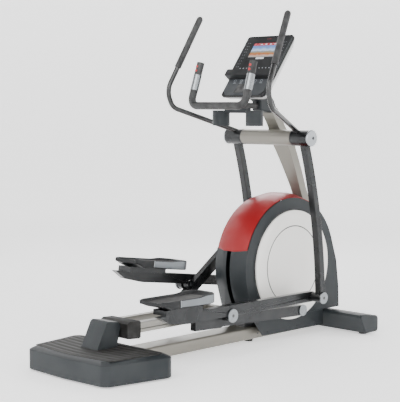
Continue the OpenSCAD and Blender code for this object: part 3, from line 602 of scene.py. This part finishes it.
def build_frame():
    """Mast, beam and cross tube with the hub seals and weld beads."""
    dress(["base_beam", "cross_tube"], powder_coated_steel())
    dress(["mast"], powder_coated_steel(), 7, 3)
    dress(["rear_cross_member", "drive_frame"], graphite_powder_coat(), 2)
    pivot = joint_at("right_arm_swing")
    low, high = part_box("cross_tube")
    tube = (high.z - low.z) / 2
    for side, sign in SIDES.items():
        hub_low, hub_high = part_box(f"{side}_arm_hub")
        inner = min(abs(hub_low.y), abs(hub_high.y))
        seal = lathe([(tube - SEAL_IN, -SEAL_DEEP), (tube - 0.001, -SEAL_DEEP), (tube + SEAL_LIP, -0.002),
                      (tube + SEAL_LIP, 0.0), (tube - SEAL_IN, 0.0), (tube - SEAL_IN, -SEAL_DEEP)])
        place = axes(Vector((pivot.x, sign * (inner - 0.0006), pivot.z)), (1, 0, 0), outward(side))
        piece(f"{side}_tube_seal", *seal, nylon(), "frame", "black_rubber", place)
    # The weld beads where the mast passes the cross tube
    mast_low, mast_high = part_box("mast")
    half = (mast_high.y - mast_low.y) / 2
    turns = [math.radians(WELD_FROM + WELD_TURN * i / WELD_STEPS) for i in range(WELD_STEPS + 1)]
    rounds = [2 * math.pi * k / 8 for k in range(8)]
    for side, sign in SIDES.items():
        rings = []
        for turn in turns:
            out = Vector((-math.sin(turn), 0, math.cos(turn)))
            mid = Vector((pivot.x, sign * (half + 0.001), pivot.z)) + (tube + 0.0008) * out
            rings.append([mid + WELD_RADIUS * (math.cos(a) * out + math.sin(a) * Vector((0, 1, 0)))
                          for a in rounds])
        piece(f"{side}_mast_weld", *loft(rings), powder_coated_steel(), "frame", "frame_silver", smooth=80)


def screw_head(radius):
    """A button-head screw with a socket, standing on z = 0."""
    dome = [(0, radius * 0.20), (radius * 0.42, radius * 0.20), (radius * 0.46, radius * 0.62),
            (radius * 0.75, radius * 0.55), (radius * 0.95, radius * 0.28), (radius, 0.0), (0, 0.0)]
    return lathe(dome, 24)


SHROUD_SCREWS = (0.045, 0.47, 0.86)      # where the screws stand along a shroud, as shares of its length
SHROUD_SCREW_Z = 0.027                   # their height above its lower edge


def build_base():
    """Stabilizer, platform cover, feet and ramp, with the screws along the shrouds."""
    dress(["front_stabilizer", "stabilizer_end_caps"], textured_abs(), 9, 3)
    dress(["platform_cover"], textured_abs(), 5, 3)
    dress(["levelling_feet"], natural_rubber(), 2)
    dress(["ramp_pivot_bracket"], textured_abs(), 4, 3)
    dress(["ramp_rear_cap"], natural_rubber(), 6, 3)
    dress(["ramp_rails"], anodised_aluminium(), 1.5)
    base = bpy.context.scene.trainer_base
    low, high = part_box("left_base_shroud")
    for side, sign in SIDES.items():
        face = sign * max(abs(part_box(f"{side}_base_shroud")[0].y), abs(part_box(f"{side}_base_shroud")[1].y))
        for share in SHROUD_SCREWS:
            spot = Vector((low.x + share * (high.x - low.x), face - sign * 0.002, low.z + SHROUD_SCREW_Z))
            piece(f"{side}_shroud_screw_{int(share * 100)}", *screw_head(base.screw), nylon(),
                  "frame", "black_rubber", axes(spot, (1, 0, 0), outward(side)))


MAT_CORNER = 0.045        # radius of the mat's corners
MAT_REAR_SHARE = 0.855    # width at the rear, as a share of the front's
MAT_BOW = 0.030           # how far the sides of its rear edge lie ahead of the middle


def build_mat():
    """The platform's rubber mat, with rounded ridges across it."""
    base = bpy.context.scene.trainer_base
    low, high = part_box("platform_mat")
    low_x, high_x = low.x, high.x
    rows, columns = 150, 36
    verts, faces = [], []

    def half_width(x):
        """Half width of the mat at x, with round corners."""
        grown = (1 - MAT_REAR_SHARE) * (x - low_x) / (high_x - low_x)
        edge = high.y * (MAT_REAR_SHARE + grown)
        for gap in (x - low_x, high_x - x):
            into = 1 - min(max(gap / MAT_CORNER, 0.0), 1.0)
            edge -= MAT_CORNER * (1 - math.sqrt(1 - into ** 2))
        return edge

    for i in range(rows + 1):
        for j in range(columns + 1):
            across = -1 + 2 * j / columns
            bow = MAT_BOW * (abs(across) ** 1.6)
            x = low_x + bow + (high_x - low_x - bow) * i / rows
            wave = 0.5 - 0.5 * math.cos(2 * math.pi * (x - low_x - bow * 0.9) / base.ridge)
            inside = min(1.0, (i / rows) * 12, (1 - i / rows) * 12, (1 - abs(across)) * 14)
            z = high.z - base.ridge_rise * (1 - (wave ** 0.7) * max(0.0, inside))
            verts.append(Vector((x, across * half_width(x), z)))
    for i in range(rows):
        for j in range(columns):
            a = i * (columns + 1) + j
            faces.append((a, a + columns + 1, a + columns + 2, a + 1))
    mat = piece("ribbed_mat", verts, faces, natural_rubber(), "frame", "black_rubber", smooth=60)
    thick = mat.modifiers.new("thickness", "SOLIDIFY")
    thick.thickness = base.ridge_rise * 0.4
    thick.offset = -1
    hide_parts("platform_mat")


# ---------------------------------------------------------------- housing and drive


def build_housing():
    """Shells, shrouds and top cover, and the drive inside them."""
    dress(["left_housing_shell", "right_housing_shell"], textured_abs(), 1.6)
    dress(["left_base_shroud", "right_base_shroud"], textured_abs(), 1.2)
    dress(["top_cover"], lacquered_abs(), 2.0, 3)
    dress(["drive_pulley", "incline_motor"], nylon(), 1)
    dress(["crank_bearings", "crank_shaft"], chromed_steel())
    dress(["drive_belt"], natural_rubber())
    dress(["flywheel"], cast_iron(), 1)
    dress(["magnet_brake"], zinc_plated_steel(), 1)


GROOVE_SHARE = 0.714      # radius of a disc's groove, as a share of the disc's


def build_discs():
    """Crank discs: a pearl face with a groove and a shallow dished middle."""
    shaft = joint_at("crank_spin")
    for side, sign in SIDES.items():
        low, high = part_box(f"{side}_crank_disc")
        radius = (high.z - low.z) / 2
        inner = min(abs(low.y), abs(high.y))
        thick = max(abs(low.y), abs(high.y)) - inner
        groove = radius * GROOVE_SHARE
        place = axes(Vector((shaft.x, sign * inner, shaft.z)), (1, 0, 0), outward(side))
        face = [(0, 0), (radius - 0.004, 0), (radius, 0.003), (radius, thick - 0.004),
                (radius - 0.0012, thick - 0.0012), (radius - 0.004, thick), (groove + 0.030, thick),
                (groove + 0.022, thick - 0.0016), (groove + 0.003, thick - 0.0016),
                (groove + 0.0015, thick - 0.005), (groove - 0.0015, thick - 0.005),
                (groove - 0.003, thick - 0.0016), (groove * 0.6, thick - 0.0034), (0, thick - 0.0044)]
        disc = piece(f"{side}_disc_face", *lathe(face, 160), pearl_abs(), "crank", "disc_white", place,
                     smooth=25)
        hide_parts(f"{side}_crank_disc")
        # Painted shade: a matte black ring laid in the real groove, for the shade inside it
        ring = [(groove - 0.0028, thick - 0.0026), (groove + 0.0028, thick - 0.0026),
                (groove + 0.0028, thick - 0.0014), (groove - 0.0028, thick - 0.0014),
                (groove - 0.0028, thick - 0.0026)]
        piece(f"{side}_disc_groove", *lathe(ring, 160), unlit_gap(), "crank", "black_rubber", place)
        # Painted shadow: a matte black ring on the frame round the disc's rim, for the shaded gap to the shell
        shadow = [(radius + 0.001, -0.0014), (radius + 0.0052, -0.0014), (radius + 0.0052, -0.0002),
                  (radius + 0.001, -0.0002), (radius + 0.001, -0.0014)]
        piece(f"{side}_disc_surround", *lathe(shadow, 160), unlit_gap(), "frame", "black_rubber", place)


# ---------------------------------------------------------------- arms


MID_DROP = 0.027          # how far the middle pivot stands off the pedal arm's centre line
CAP_RIM = 0.0045          # height of a hub cap's straight rim
CAP_RISE = 0.0118         # height of the dome over it
CAP_SCREW = 0.0062        # radius of the screw in its middle


def link_place(side):
    """The pedal arm's own axes: X forward along its tube from the lower pivot."""
    low = joint_at(f"{side}_link_pivot")
    mid = joint_at(f"{side}_mid_pivot")
    along = low - mid
    reach = math.hypot(along.x, along.z)
    drop = math.asin(MID_DROP / reach)
    lean = math.atan2(along.z, along.x) - drop
    return Matrix.Translation(Vector((low.x, 0, low.z))) @ Matrix.Rotation(-lean, 4, "Y")


def build_arms():
    """Legs, hubs, handles, link arms and rollers, with the hubs' domed caps."""
    for side, sign in SIDES.items():
        dress([f"{side}_lower_leg"], graphite_powder_coat(), 9, 4)
        dress([f"{side}_arm_hub"], graphite_powder_coat(), 2.5)
        dress([f"{side}_pedal_arm", f"{side}_roller_arm"], graphite_powder_coat(), 1.2)
        dress([f"{side}_swing_handle"], black_stove_enamel())
        dress([f"{side}_handle_grip"], eva_foam())
        dress([f"{side}_lower_pivot_pin", f"{side}_pivot_pins"], satin_chrome(), 2, 3)
        dress([f"{side}_roller_wheel"], urethane(), 2.5, 3)
        low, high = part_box(f"{side}_hub_cap")
        radius = (high.z - low.z) / 2
        pivot = joint_at(f"{side}_arm_swing")
        place = axes(Vector((pivot.x, sign * min(abs(low.y), abs(high.y)), pivot.z)), (1, 0, 0), outward(side))
        dome = [(0, 0), (radius - 0.001, 0), (radius, 0.0012), (radius, CAP_RIM)]
        dome += [(radius * math.cos(t), CAP_RIM + CAP_RISE * math.sin(t))
                 for t in [math.radians(6 * i) for i in range(1, 12)]]
        dome += [(0.009, 0.0164), (0.0075, 0.0125), (0, 0.0125)]
        cap = piece(f"{side}_dome_cap", *lathe(dome, 96), chromed_steel(), f"{side}_swing_arm",
                    "chrome_metal", place, smooth=50)
        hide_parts(f"{side}_hub_cap")
        piece(f"{side}_dome_screw", *moved(screw_head(CAP_SCREW), Matrix.Translation((0, 0, CAP_RISE))),
              nylon(), f"{side}_swing_arm", "black_rubber", place)
        build_pivot_faces(side, sign)


def build_pivot_faces(side, sign):
    """The socket screws in the middle of the pivot caps."""
    spots = {
        "lower": (joint_at(f"{side}_link_pivot"), f"{side}_lower_pivot_pin", f"{side}_link_pin"),
        "middle": (joint_at(f"{side}_mid_pivot"), f"{side}_pivot_pins", f"{side}_roller_link"),
    }
    for name, (at, node, body) in spots.items():
        face = max(abs(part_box(node)[0].y), abs(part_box(node)[1].y))
        place = axes(Vector((at.x, sign * (face - 0.0006), at.z)), (1, 0, 0), outward(side))
        ring = [(0, 0.0), (0.0085, 0.0), (0.0085, 0.0012), (0.0070, 0.0016), (0.0052, 0.0016),
                (0.0048, 0.0008), (0, 0.0008)]
        piece(f"{side}_{name}_pivot_screw", *lathe(ring, 32), nylon(), body, "black_rubber", place)


PEDAL_FRONT = -0.770      # toe of a pedal, in the pedal arm's own axes
PEDAL_BASE = 0.0558       # underside of a pedal, over the arm
PEDAL_LENGTH = 0.400
TOE_RADIUS = 0.060
RIM_HEIGHT = 0.0517       # of a pedal's rim at the toe
RIM_DROP = 0.0075         # how much lower it is along the sides
TRAY_FLOOR = 0.030        # height of the tray's floor over the pedal's underside
TREAD_START = 0.045       # from the toe back to the tread
TREAD_LENGTH = 0.330


def toe_inset(back):
    """How far a pedal's side draws in, at a distance back from its toe."""
    if back >= TOE_RADIUS:
        return 0.0
    return TOE_RADIUS - math.sqrt(TOE_RADIUS ** 2 - (TOE_RADIUS - back) ** 2)


def ease(value, low, high):
    """0 below low, 1 above high, with a smooth rise between."""
    share = min(1.0, max(0.0, (value - low) / (high - low)))
    return share * share * (3 - 2 * share)


def rim_height(back):
    """Height of a pedal's rim: raised at the toe, lower along the sides."""
    return RIM_HEIGHT - RIM_DROP * ease(back, 0.075, 0.150)


def pedal_ring(back, near, far, rim):
    """A section across a pedal: a tray with a rounded rim, whose floor rises into the toe wall."""
    inset = toe_inset(back) + 0.010 * ease(back, 0.37, PEDAL_LENGTH)
    low = 0.0005 + 0.021 * ease(back, 0.33, PEDAL_LENGTH)
    high = rim_height(back) - 0.003 * ease(back, 0.39, PEDAL_LENGTH)
    sunk = ease(back, 0.004, TREAD_START) * (1 - 0.75 * ease(back, 0.385, PEDAL_LENGTH))
    floor = high - (high - TRAY_FLOOR) * sunk
    inner, outer = near + inset, far - inset
    half = [(outer - 0.005, low), (outer, low + 0.005), (outer, high - 0.004),
            (outer - 0.0012, high - 0.0012), (outer - 0.004, high), (outer - rim, high - 0.001),
            (outer - rim - 0.0015, high - 0.0045),
            (outer - rim - 0.006, floor + 0.002), (outer - rim - 0.012, floor)]
    half = [(y, min(z, high)) for y, z in half]
    mirrored = [(inner + outer - y, z) for y, z in reversed(half)]
    x = PEDAL_FRONT - back
    return [(x, y, PEDAL_BASE + z) for y, z in half + mirrored]


def build_pedals():
    """Pedals: a dished tray with a raised toe, anodised side panels and a ribbed tread."""
    sizes = bpy.context.scene.trainer_pedals
    # Sections across the pedal, closer together where its outline turns
    backs = [0.0, 0.002, 0.006, 0.012, 0.020, 0.030, 0.040, 0.050, 0.060, 0.075, 0.090, 0.105, 0.120,
             0.135, 0.150, *(0.18 + 0.03 * i for i in range(6)), 0.345, 0.36, 0.375, 0.385, 0.392, 0.397,
             PEDAL_LENGTH]
    for side, sign in SIDES.items():
        place = link_place(side)
        body = f"{side}_pedal_link"
        low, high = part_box(f"{side}_pedal")
        near, far = sorted((abs(low.y), abs(high.y)))
        rings = [[(x, sign * y, z) for x, y, z in pedal_ring(back, near, far, sizes.rim)] for back in backs]
        tray = piece(f"{side}_pedal_tray", *loft(rings), black_abs(), body, "pedal_plastic", place, smooth=38)
        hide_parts(f"{side}_pedal")
        build_pedal_panels(side, sign, place, body, near, far)
        build_tread(side, sign, place, body, near, far)


def build_pedal_panels(side, sign, place, body, near, far):
    """The anodised bands along a pedal's sides, drawn in round the toe, each with a bright end strip."""
    proud = bpy.context.scene.trainer_pedals.panel_proud
    # Where each band starts and ends behind the toe, its margin above and below, and its finish
    bands = {"panel": (0.006, 0.268, 0.004, anodised_panel()),
             "strip": (0.2695, 0.2755, 0.002, satin_chrome())}
    for name, wall, facing in (("outer", far, 1), ("inner", near, -1)):
        for kind, (start, end, margin, finish) in bands.items():
            rings = []
            for i in range(25):
                back = start + (end - start) * i / 24
                face = wall - facing * toe_inset(back) + facing * proud
                under = face - facing * (proud + 0.002)
                low = PEDAL_BASE + margin + 0.004 * ease(back, 0.10, 0.27)
                high = PEDAL_BASE + rim_height(back) - margin - 0.001
                x = PEDAL_FRONT - back
                section = [(under, low), (face - facing * 0.0008, low), (face, low + 0.0015),
                           (face, high - 0.0015), (face - facing * 0.0008, high), (under, high)]
                rings.append([(x, sign * y, z) for y, z in section])
            piece(f"{side}_pedal_{name}_{kind}", *loft(rings), finish, body, "chrome_metal", place, smooth=30)


def build_tread(side, sign, place, body, near, far):
    """The ribbed rubber tread in a pedal."""
    sizes = bpy.context.scene.trainer_pedals
    margin = sizes.rim + 0.008
    verts, faces = [], []
    rows, columns = 96, 14
    for i in range(rows + 1):
        x = PEDAL_FRONT - TREAD_START - TREAD_LENGTH * i / rows
        squeeze = toe_inset(PEDAL_FRONT - x)
        for j in range(columns + 1):
            share = j / columns
            y = near + margin + squeeze + (far - near - 2 * (margin + squeeze)) * share
            wave = 0.5 - 0.5 * math.cos(2 * math.pi * (x + 0.25 * y) / sizes.tread_pitch)
            edge = min(1.0, min(share, 1 - share) * 10, i / 3, (rows - i) / 3)
            z = PEDAL_BASE + TRAY_FLOOR + 0.0012 + sizes.tread_rise * wave * edge
            verts.append(Vector((x, sign * y, z)))
    for i in range(rows):
        for j in range(columns):
            a = i * (columns + 1) + j
            faces.append((a, a + 1, a + columns + 2, a + columns + 1))
    tread = piece(f"{side}_pedal_tread", verts, faces, natural_rubber(), body, "black_rubber", place,
                  smooth=60)
    thick = tread.modifiers.new("thickness", "SOLIDIFY")
    thick.thickness = 0.0015
    thick.offset = 0


# ---------------------------------------------------------------- console


SCREEN_UP = 0.1415        # the display's middle, up the slope from the console's own origin
SCREEN_SUNK = 0.00235     # and below its face


def console_place():
    """The console's own axes: X to the user's right, Y up its slope, Z out to the user."""
    lean = bpy.context.scene.trainer_console.lean
    up = Vector((math.sin(lean), 0, math.cos(lean)))
    out = Vector((-math.cos(lean), 0, math.sin(lean)))
    middle = centre_of("display_screen")
    origin = middle - up * SCREEN_UP + out * SCREEN_SUNK
    return axes(origin, (0, -1, 0), out)


def block(name, outline, low, high, material, slot, place, bevel=0.0008):
    """A raised block on the console."""
    return piece(name, *prism(outline, low, high), material, "frame", slot, place, bevel=bevel)


def build_console():
    """The console: lit display, key columns, tray with pocket and the back shell."""
    dress(["console_front"], black_abs(), 3, 3)
    dress(["console_back"], silver_abs(), 5, 3)
    dress(["console_neck"], textured_abs(), 6, 3)
    dress(["bottle_holders"], textured_abs(), 1.5)
    sizes = bpy.context.scene.trainer_console
    place = console_place()
    build_display(place)
    build_keys(place, sizes)
    # The slate panel below the ledge, with its bottom corners cut off
    half = sizes.half_width - 0.018
    low, high = -0.168, -0.057
    cut = 0.026
    outline = [(half, high), (-half, high), (-half, low + cut), (-half + cut, low), (half - cut, low),
               (half, low + cut)]
    block("lower_panel", outline, -0.0052, -0.0030, slate_abs(), "console_black", place, 0.0012)
    # Painted shade: a matte black sheet over the pocket's mouth, for the shade inside the pocket
    pocket = sizes.pocket_half
    slanted = [(pocket, -0.092), (-pocket, -0.092), (-pocket - 0.006, -0.152), (pocket - 0.006, -0.152)]
    block("pocket_mouth", slanted, -0.0031, -0.0024, unlit_gap(), "console_black", place, 0.0003)
    # A pale strip of the shell beside the bezel, on both sides
    for side, sign in SIDES.items():
        edge = sizes.half_width - 0.0012
        strip = [(-sign * edge, 0.236), (-sign * (edge - 0.004), 0.236), (-sign * (edge - 0.004), 0.0),
                 (-sign * edge, 0.0)]
        block(f"{side}_bezel_strip", strip, -0.0018, 0.0006, satin_chrome(), "chrome_metal", place, 0.0005)


def build_display(place):
    """The lit display: header, picture and footer behind a thin bezel."""
    dress(["display_screen"], black_abs())
    low, high, half = 0.086, 0.196, 0.094
    face = -0.0007
    block("display_header", rounded_box((-half, half), (high - 0.016, high), 0.002), -0.002, face,
          header_light(), "screen_glass", place, 0.0002)
    block("display_picture", rounded_box((-half, half), (low + 0.012, high - 0.017), 0.001), -0.002, face,
          lit_landscape(low + 0.012, high - 0.017), "screen_glass", place, 0.0002)
    block("display_footer", rounded_box((-0.030, 0.030), (low - 0.003, low + 0.009), 0.002), -0.002, face,
          footer_light(), "screen_glass", place, 0.0002)
    for k in range(4):
        x = -half + 0.050 + k * 0.034
        block(f"header_field_{k + 1}", rounded_box((x, x + 0.014), (high - 0.011, high - 0.005), 0.001),
              face - 0.0004, face + 0.0003, footer_light(), "screen_glass", place, 0.0001)


def build_keys(place, sizes):
    """Membrane keys: two columns beside the display, a row below it and the four tray keys."""
    half_key = sizes.key / 2
    for side, sign in SIDES.items():
        for k in range(9):
            x = -sign * sizes.column
            y = 0.030 + k * sizes.key_pitch
            for part, shift in (("inner", -0.008), ("outer", 0.006)):
                at = x - sign * shift
                outline = rounded_box((at - half_key * 0.5, at + half_key * 0.5),
                                      (y - half_key * 0.35, y + half_key * 0.35), 0.0010)
                block(f"{side}_column_{part}_{k + 1}", outline, -0.0004, 0.0007, printed_legend(),
                      "console_black", place, 0.0002)
    for k in range(8):
        x = -0.108 + k * 0.0245 + (0.045 if k > 3 else 0.0)
        outline = rounded_box((x - 0.0042, x + 0.0042), (0.015, 0.0205), 0.0015)
        block(f"row_key_{k + 1}", outline, -0.0004, 0.0008, printed_legend(), "console_black", place, 0.0003)
    for k, x in enumerate((-0.098, -0.052, 0.052, 0.098)):
        ring = lathe([(0.0075, -0.0034), (0.0092, -0.0034), (0.0092, -0.0022), (0.0075, -0.0022),
                      (0.0075, -0.0034)], 32)
        bar = prism(rounded_box((-0.010, 0.010), (-0.0165, -0.0135), 0.0010), -0.0034, -0.0022)
        verts, faces = joined(ring, bar)
        piece(f"tray_key_{k + 1}", *moved((verts, faces), Matrix.Translation((x, -0.070, 0))),
              printed_legend(), "frame", "console_black", place)
    for k in range(3):
        x = -0.012 + k * 0.012
        block(f"status_light_{k + 1}", rounded_box((x - 0.003, x + 0.003), (0.224, 0.227), 0.001), -0.0004,
              0.0006, header_light(), "button_red", place, 0.0002)


def build_handlebar():
    """Fixed handlebar with its pulse plates and grip buttons."""
    dress(["static_handlebar"], eva_foam())
    dress(["pulse_plates"], satin_chrome(), 0.4)
    buttons = [f"{side}_{level}_button" for side in SIDES for level in ("upper", "lower")]
    dress(buttons, red_elastomer(), 1.2, 3)


# ---------------------------------------------------------------- stage


CAMERA_AT = (-4.5204, -4.4172, 1.3417)
CAMERA_AIM = (0.7077, 0.7015, -0.0835)


def build_stage():
    """A round floor that curves up all round, soft lights and the camera."""
    settings = bpy.context.scene.trainer_stage
    flat, curve, rim = 9.0, 3.0, 12.0
    profile = [(0, 0), (2.0, 0.0), (5.0, 0.0), (flat, 0.0)]
    profile += [(flat + curve * math.sin(t), curve - curve * math.cos(t))
                for t in [math.radians(9 * i) for i in range(1, 11)]]
    verts, faces = lathe(profile + [(flat + curve, rim)], 72)
    mesh = bpy.data.meshes.new("studio_floor")
    mesh.from_pydata(verts, [], faces)
    mesh.polygons.foreach_set("use_smooth", [True] * len(mesh.polygons))
    paper = surface("studio_paper", tuple(settings.floor), (0.8, 0.9), 900, 4.0, 0.01, vary=0.005, IOR=1.45,
                    **{"Emission Color": (1.0, 1.0, 1.0, 1.0), "Emission Strength": settings.glow})
    mesh.materials.append(paper)
    floor = bpy.data.objects.new("studio_floor", mesh)
    floor.location.z = LOW.z
    bpy.context.collection.objects.link(floor)
    middle = (LOW + HIGH) / 2
    lights = [("key_light", (-3.2, -1.2, 3.6), settings.key_power, 2.6),
              ("fill_light", (-1.2, -4.6, 1.8), settings.fill_power, 2.4),
              ("rim_light", (3.0, 2.6, 3.4), settings.rim_power, 2.2),
              ("top_light", (0.4, -0.3, 5.0), settings.fill_power, 3.0)]
    for name, offset, power, size in lights:
        data = bpy.data.lights.new(name, "AREA")
        data.energy = power
        data.size = size
        lamp = bpy.data.objects.new(name, data)
        lamp.location = Vector((middle.x, middle.y, 0)) + Vector(offset)
        lamp.rotation_euler = (middle - lamp.location).to_track_quat("-Z", "Y").to_euler()
        bpy.context.collection.objects.link(lamp)
    world = bpy.data.worlds.new("soft_room")
    world.use_nodes = True
    world.node_tree.nodes["Background"].inputs["Color"].default_value = linear("#ffffff")
    world.node_tree.nodes["Background"].inputs["Strength"].default_value = 0.3
    bpy.context.scene.world = world
    data = bpy.data.cameras.new("camera")
    data.lens = settings.lens
    data.sensor_width = 36.0
    data.sensor_fit = "HORIZONTAL"
    camera = bpy.data.objects.new("camera", data)
    camera.location = CAMERA_AT
    camera.rotation_euler = Vector(CAMERA_AIM).to_track_quat("-Z", "Y").to_euler()
    bpy.context.collection.objects.link(camera)
    bpy.context.scene.camera = camera


# ---------------------------------------------------------------- operators


class TRAINER_OT_stage(bpy.types.Operator):
    """Add the floor, lights and camera"""

    bl_idname = "trainer.stage"
    bl_label = "Stage"
    bl_options = {"REGISTER", "UNDO"}

    def execute(self, context):
        build_stage()
        return {"FINISHED"}


class TRAINER_OT_frame(bpy.types.Operator):
    """Finish the mast, beam and cross tube"""

    bl_idname = "trainer.frame"
    bl_label = "Frame"
    bl_options = {"REGISTER", "UNDO"}

    def execute(self, context):
        build_frame()
        return {"FINISHED"}


class TRAINER_OT_base(bpy.types.Operator):
    """Finish the base and make the platform's mat"""

    bl_idname = "trainer.base"
    bl_label = "Base"
    bl_options = {"REGISTER", "UNDO"}

    def execute(self, context):
        build_base()
        build_mat()
        return {"FINISHED"}


class TRAINER_OT_housing(bpy.types.Operator):
    """Finish the shells, cover and drive"""

    bl_idname = "trainer.housing"
    bl_label = "Housing"
    bl_options = {"REGISTER", "UNDO"}

    def execute(self, context):
        build_housing()
        return {"FINISHED"}


class TRAINER_OT_discs(bpy.types.Operator):
    """Make the crank discs"""

    bl_idname = "trainer.discs"
    bl_label = "Crank discs"
    bl_options = {"REGISTER", "UNDO"}

    def execute(self, context):
        build_discs()
        return {"FINISHED"}


class TRAINER_OT_arms(bpy.types.Operator):
    """Finish the arms and make their caps"""

    bl_idname = "trainer.arms"
    bl_label = "Arms"
    bl_options = {"REGISTER", "UNDO"}

    def execute(self, context):
        build_arms()
        return {"FINISHED"}


class TRAINER_OT_pedals(bpy.types.Operator):
    """Make the pedals and their treads"""

    bl_idname = "trainer.pedals"
    bl_label = "Pedals"
    bl_options = {"REGISTER", "UNDO"}

    def execute(self, context):
        build_pedals()
        return {"FINISHED"}


class TRAINER_OT_console(bpy.types.Operator):
    """Make the console's display and keys"""

    bl_idname = "trainer.console"
    bl_label = "Console"
    bl_options = {"REGISTER", "UNDO"}

    def execute(self, context):
        build_console()
        return {"FINISHED"}


class TRAINER_OT_handlebar(bpy.types.Operator):
    """Finish the fixed handlebar and buttons"""

    bl_idname = "trainer.handlebar"
    bl_label = "Handlebar"
    bl_options = {"REGISTER", "UNDO"}

    def execute(self, context):
        build_handlebar()
        return {"FINISHED"}


OPERATORS = [
    TRAINER_OT_stage, TRAINER_OT_frame, TRAINER_OT_base, TRAINER_OT_housing,
    TRAINER_OT_discs, TRAINER_OT_arms, TRAINER_OT_pedals, TRAINER_OT_console,
    TRAINER_OT_handlebar,
]


class TRAINER_PT_panel(bpy.types.Panel):
    """Lists the operators and settings."""

    bl_label = "Elliptical Trainer"
    bl_space_type = "VIEW_3D"
    bl_region_type = "UI"
    bl_category = "Trainer"

    def draw(self, context):
        for kind in OPERATORS:
            self.layout.operator(kind.bl_idname)
        for group, kind in SETTINGS.items():
            box = self.layout.box()
            for name in kind.__annotations__:
                box.prop(getattr(context.scene, group), name)


def register():
    """Registers the settings, the operators and the panel."""
    for group, kind in SETTINGS.items():
        bpy.utils.register_class(kind)
        setattr(bpy.types.Scene, group, bpy.props.PointerProperty(type=kind))
    for kind in [*OPERATORS, TRAINER_PT_panel]:
        bpy.utils.register_class(kind)


def unregister():
    """Takes them all away again, in reverse."""
    for kind in [TRAINER_PT_panel, *reversed(OPERATORS)]:
        bpy.utils.unregister_class(kind)
    for group, kind in reversed(SETTINGS.items()):
        delattr(bpy.types.Scene, group)
        bpy.utils.unregister_class(kind)


def main():
    """Builds the trainer and its stage."""
    register()
    bpy.ops.trainer.stage()
    bpy.ops.trainer.frame()
    bpy.ops.trainer.base()
    bpy.ops.trainer.housing()
    bpy.ops.trainer.discs()
    bpy.ops.trainer.arms()
    bpy.ops.trainer.pedals()
    bpy.ops.trainer.console()
    bpy.ops.trainer.handlebar()


if __name__ == "__main__":
    main()
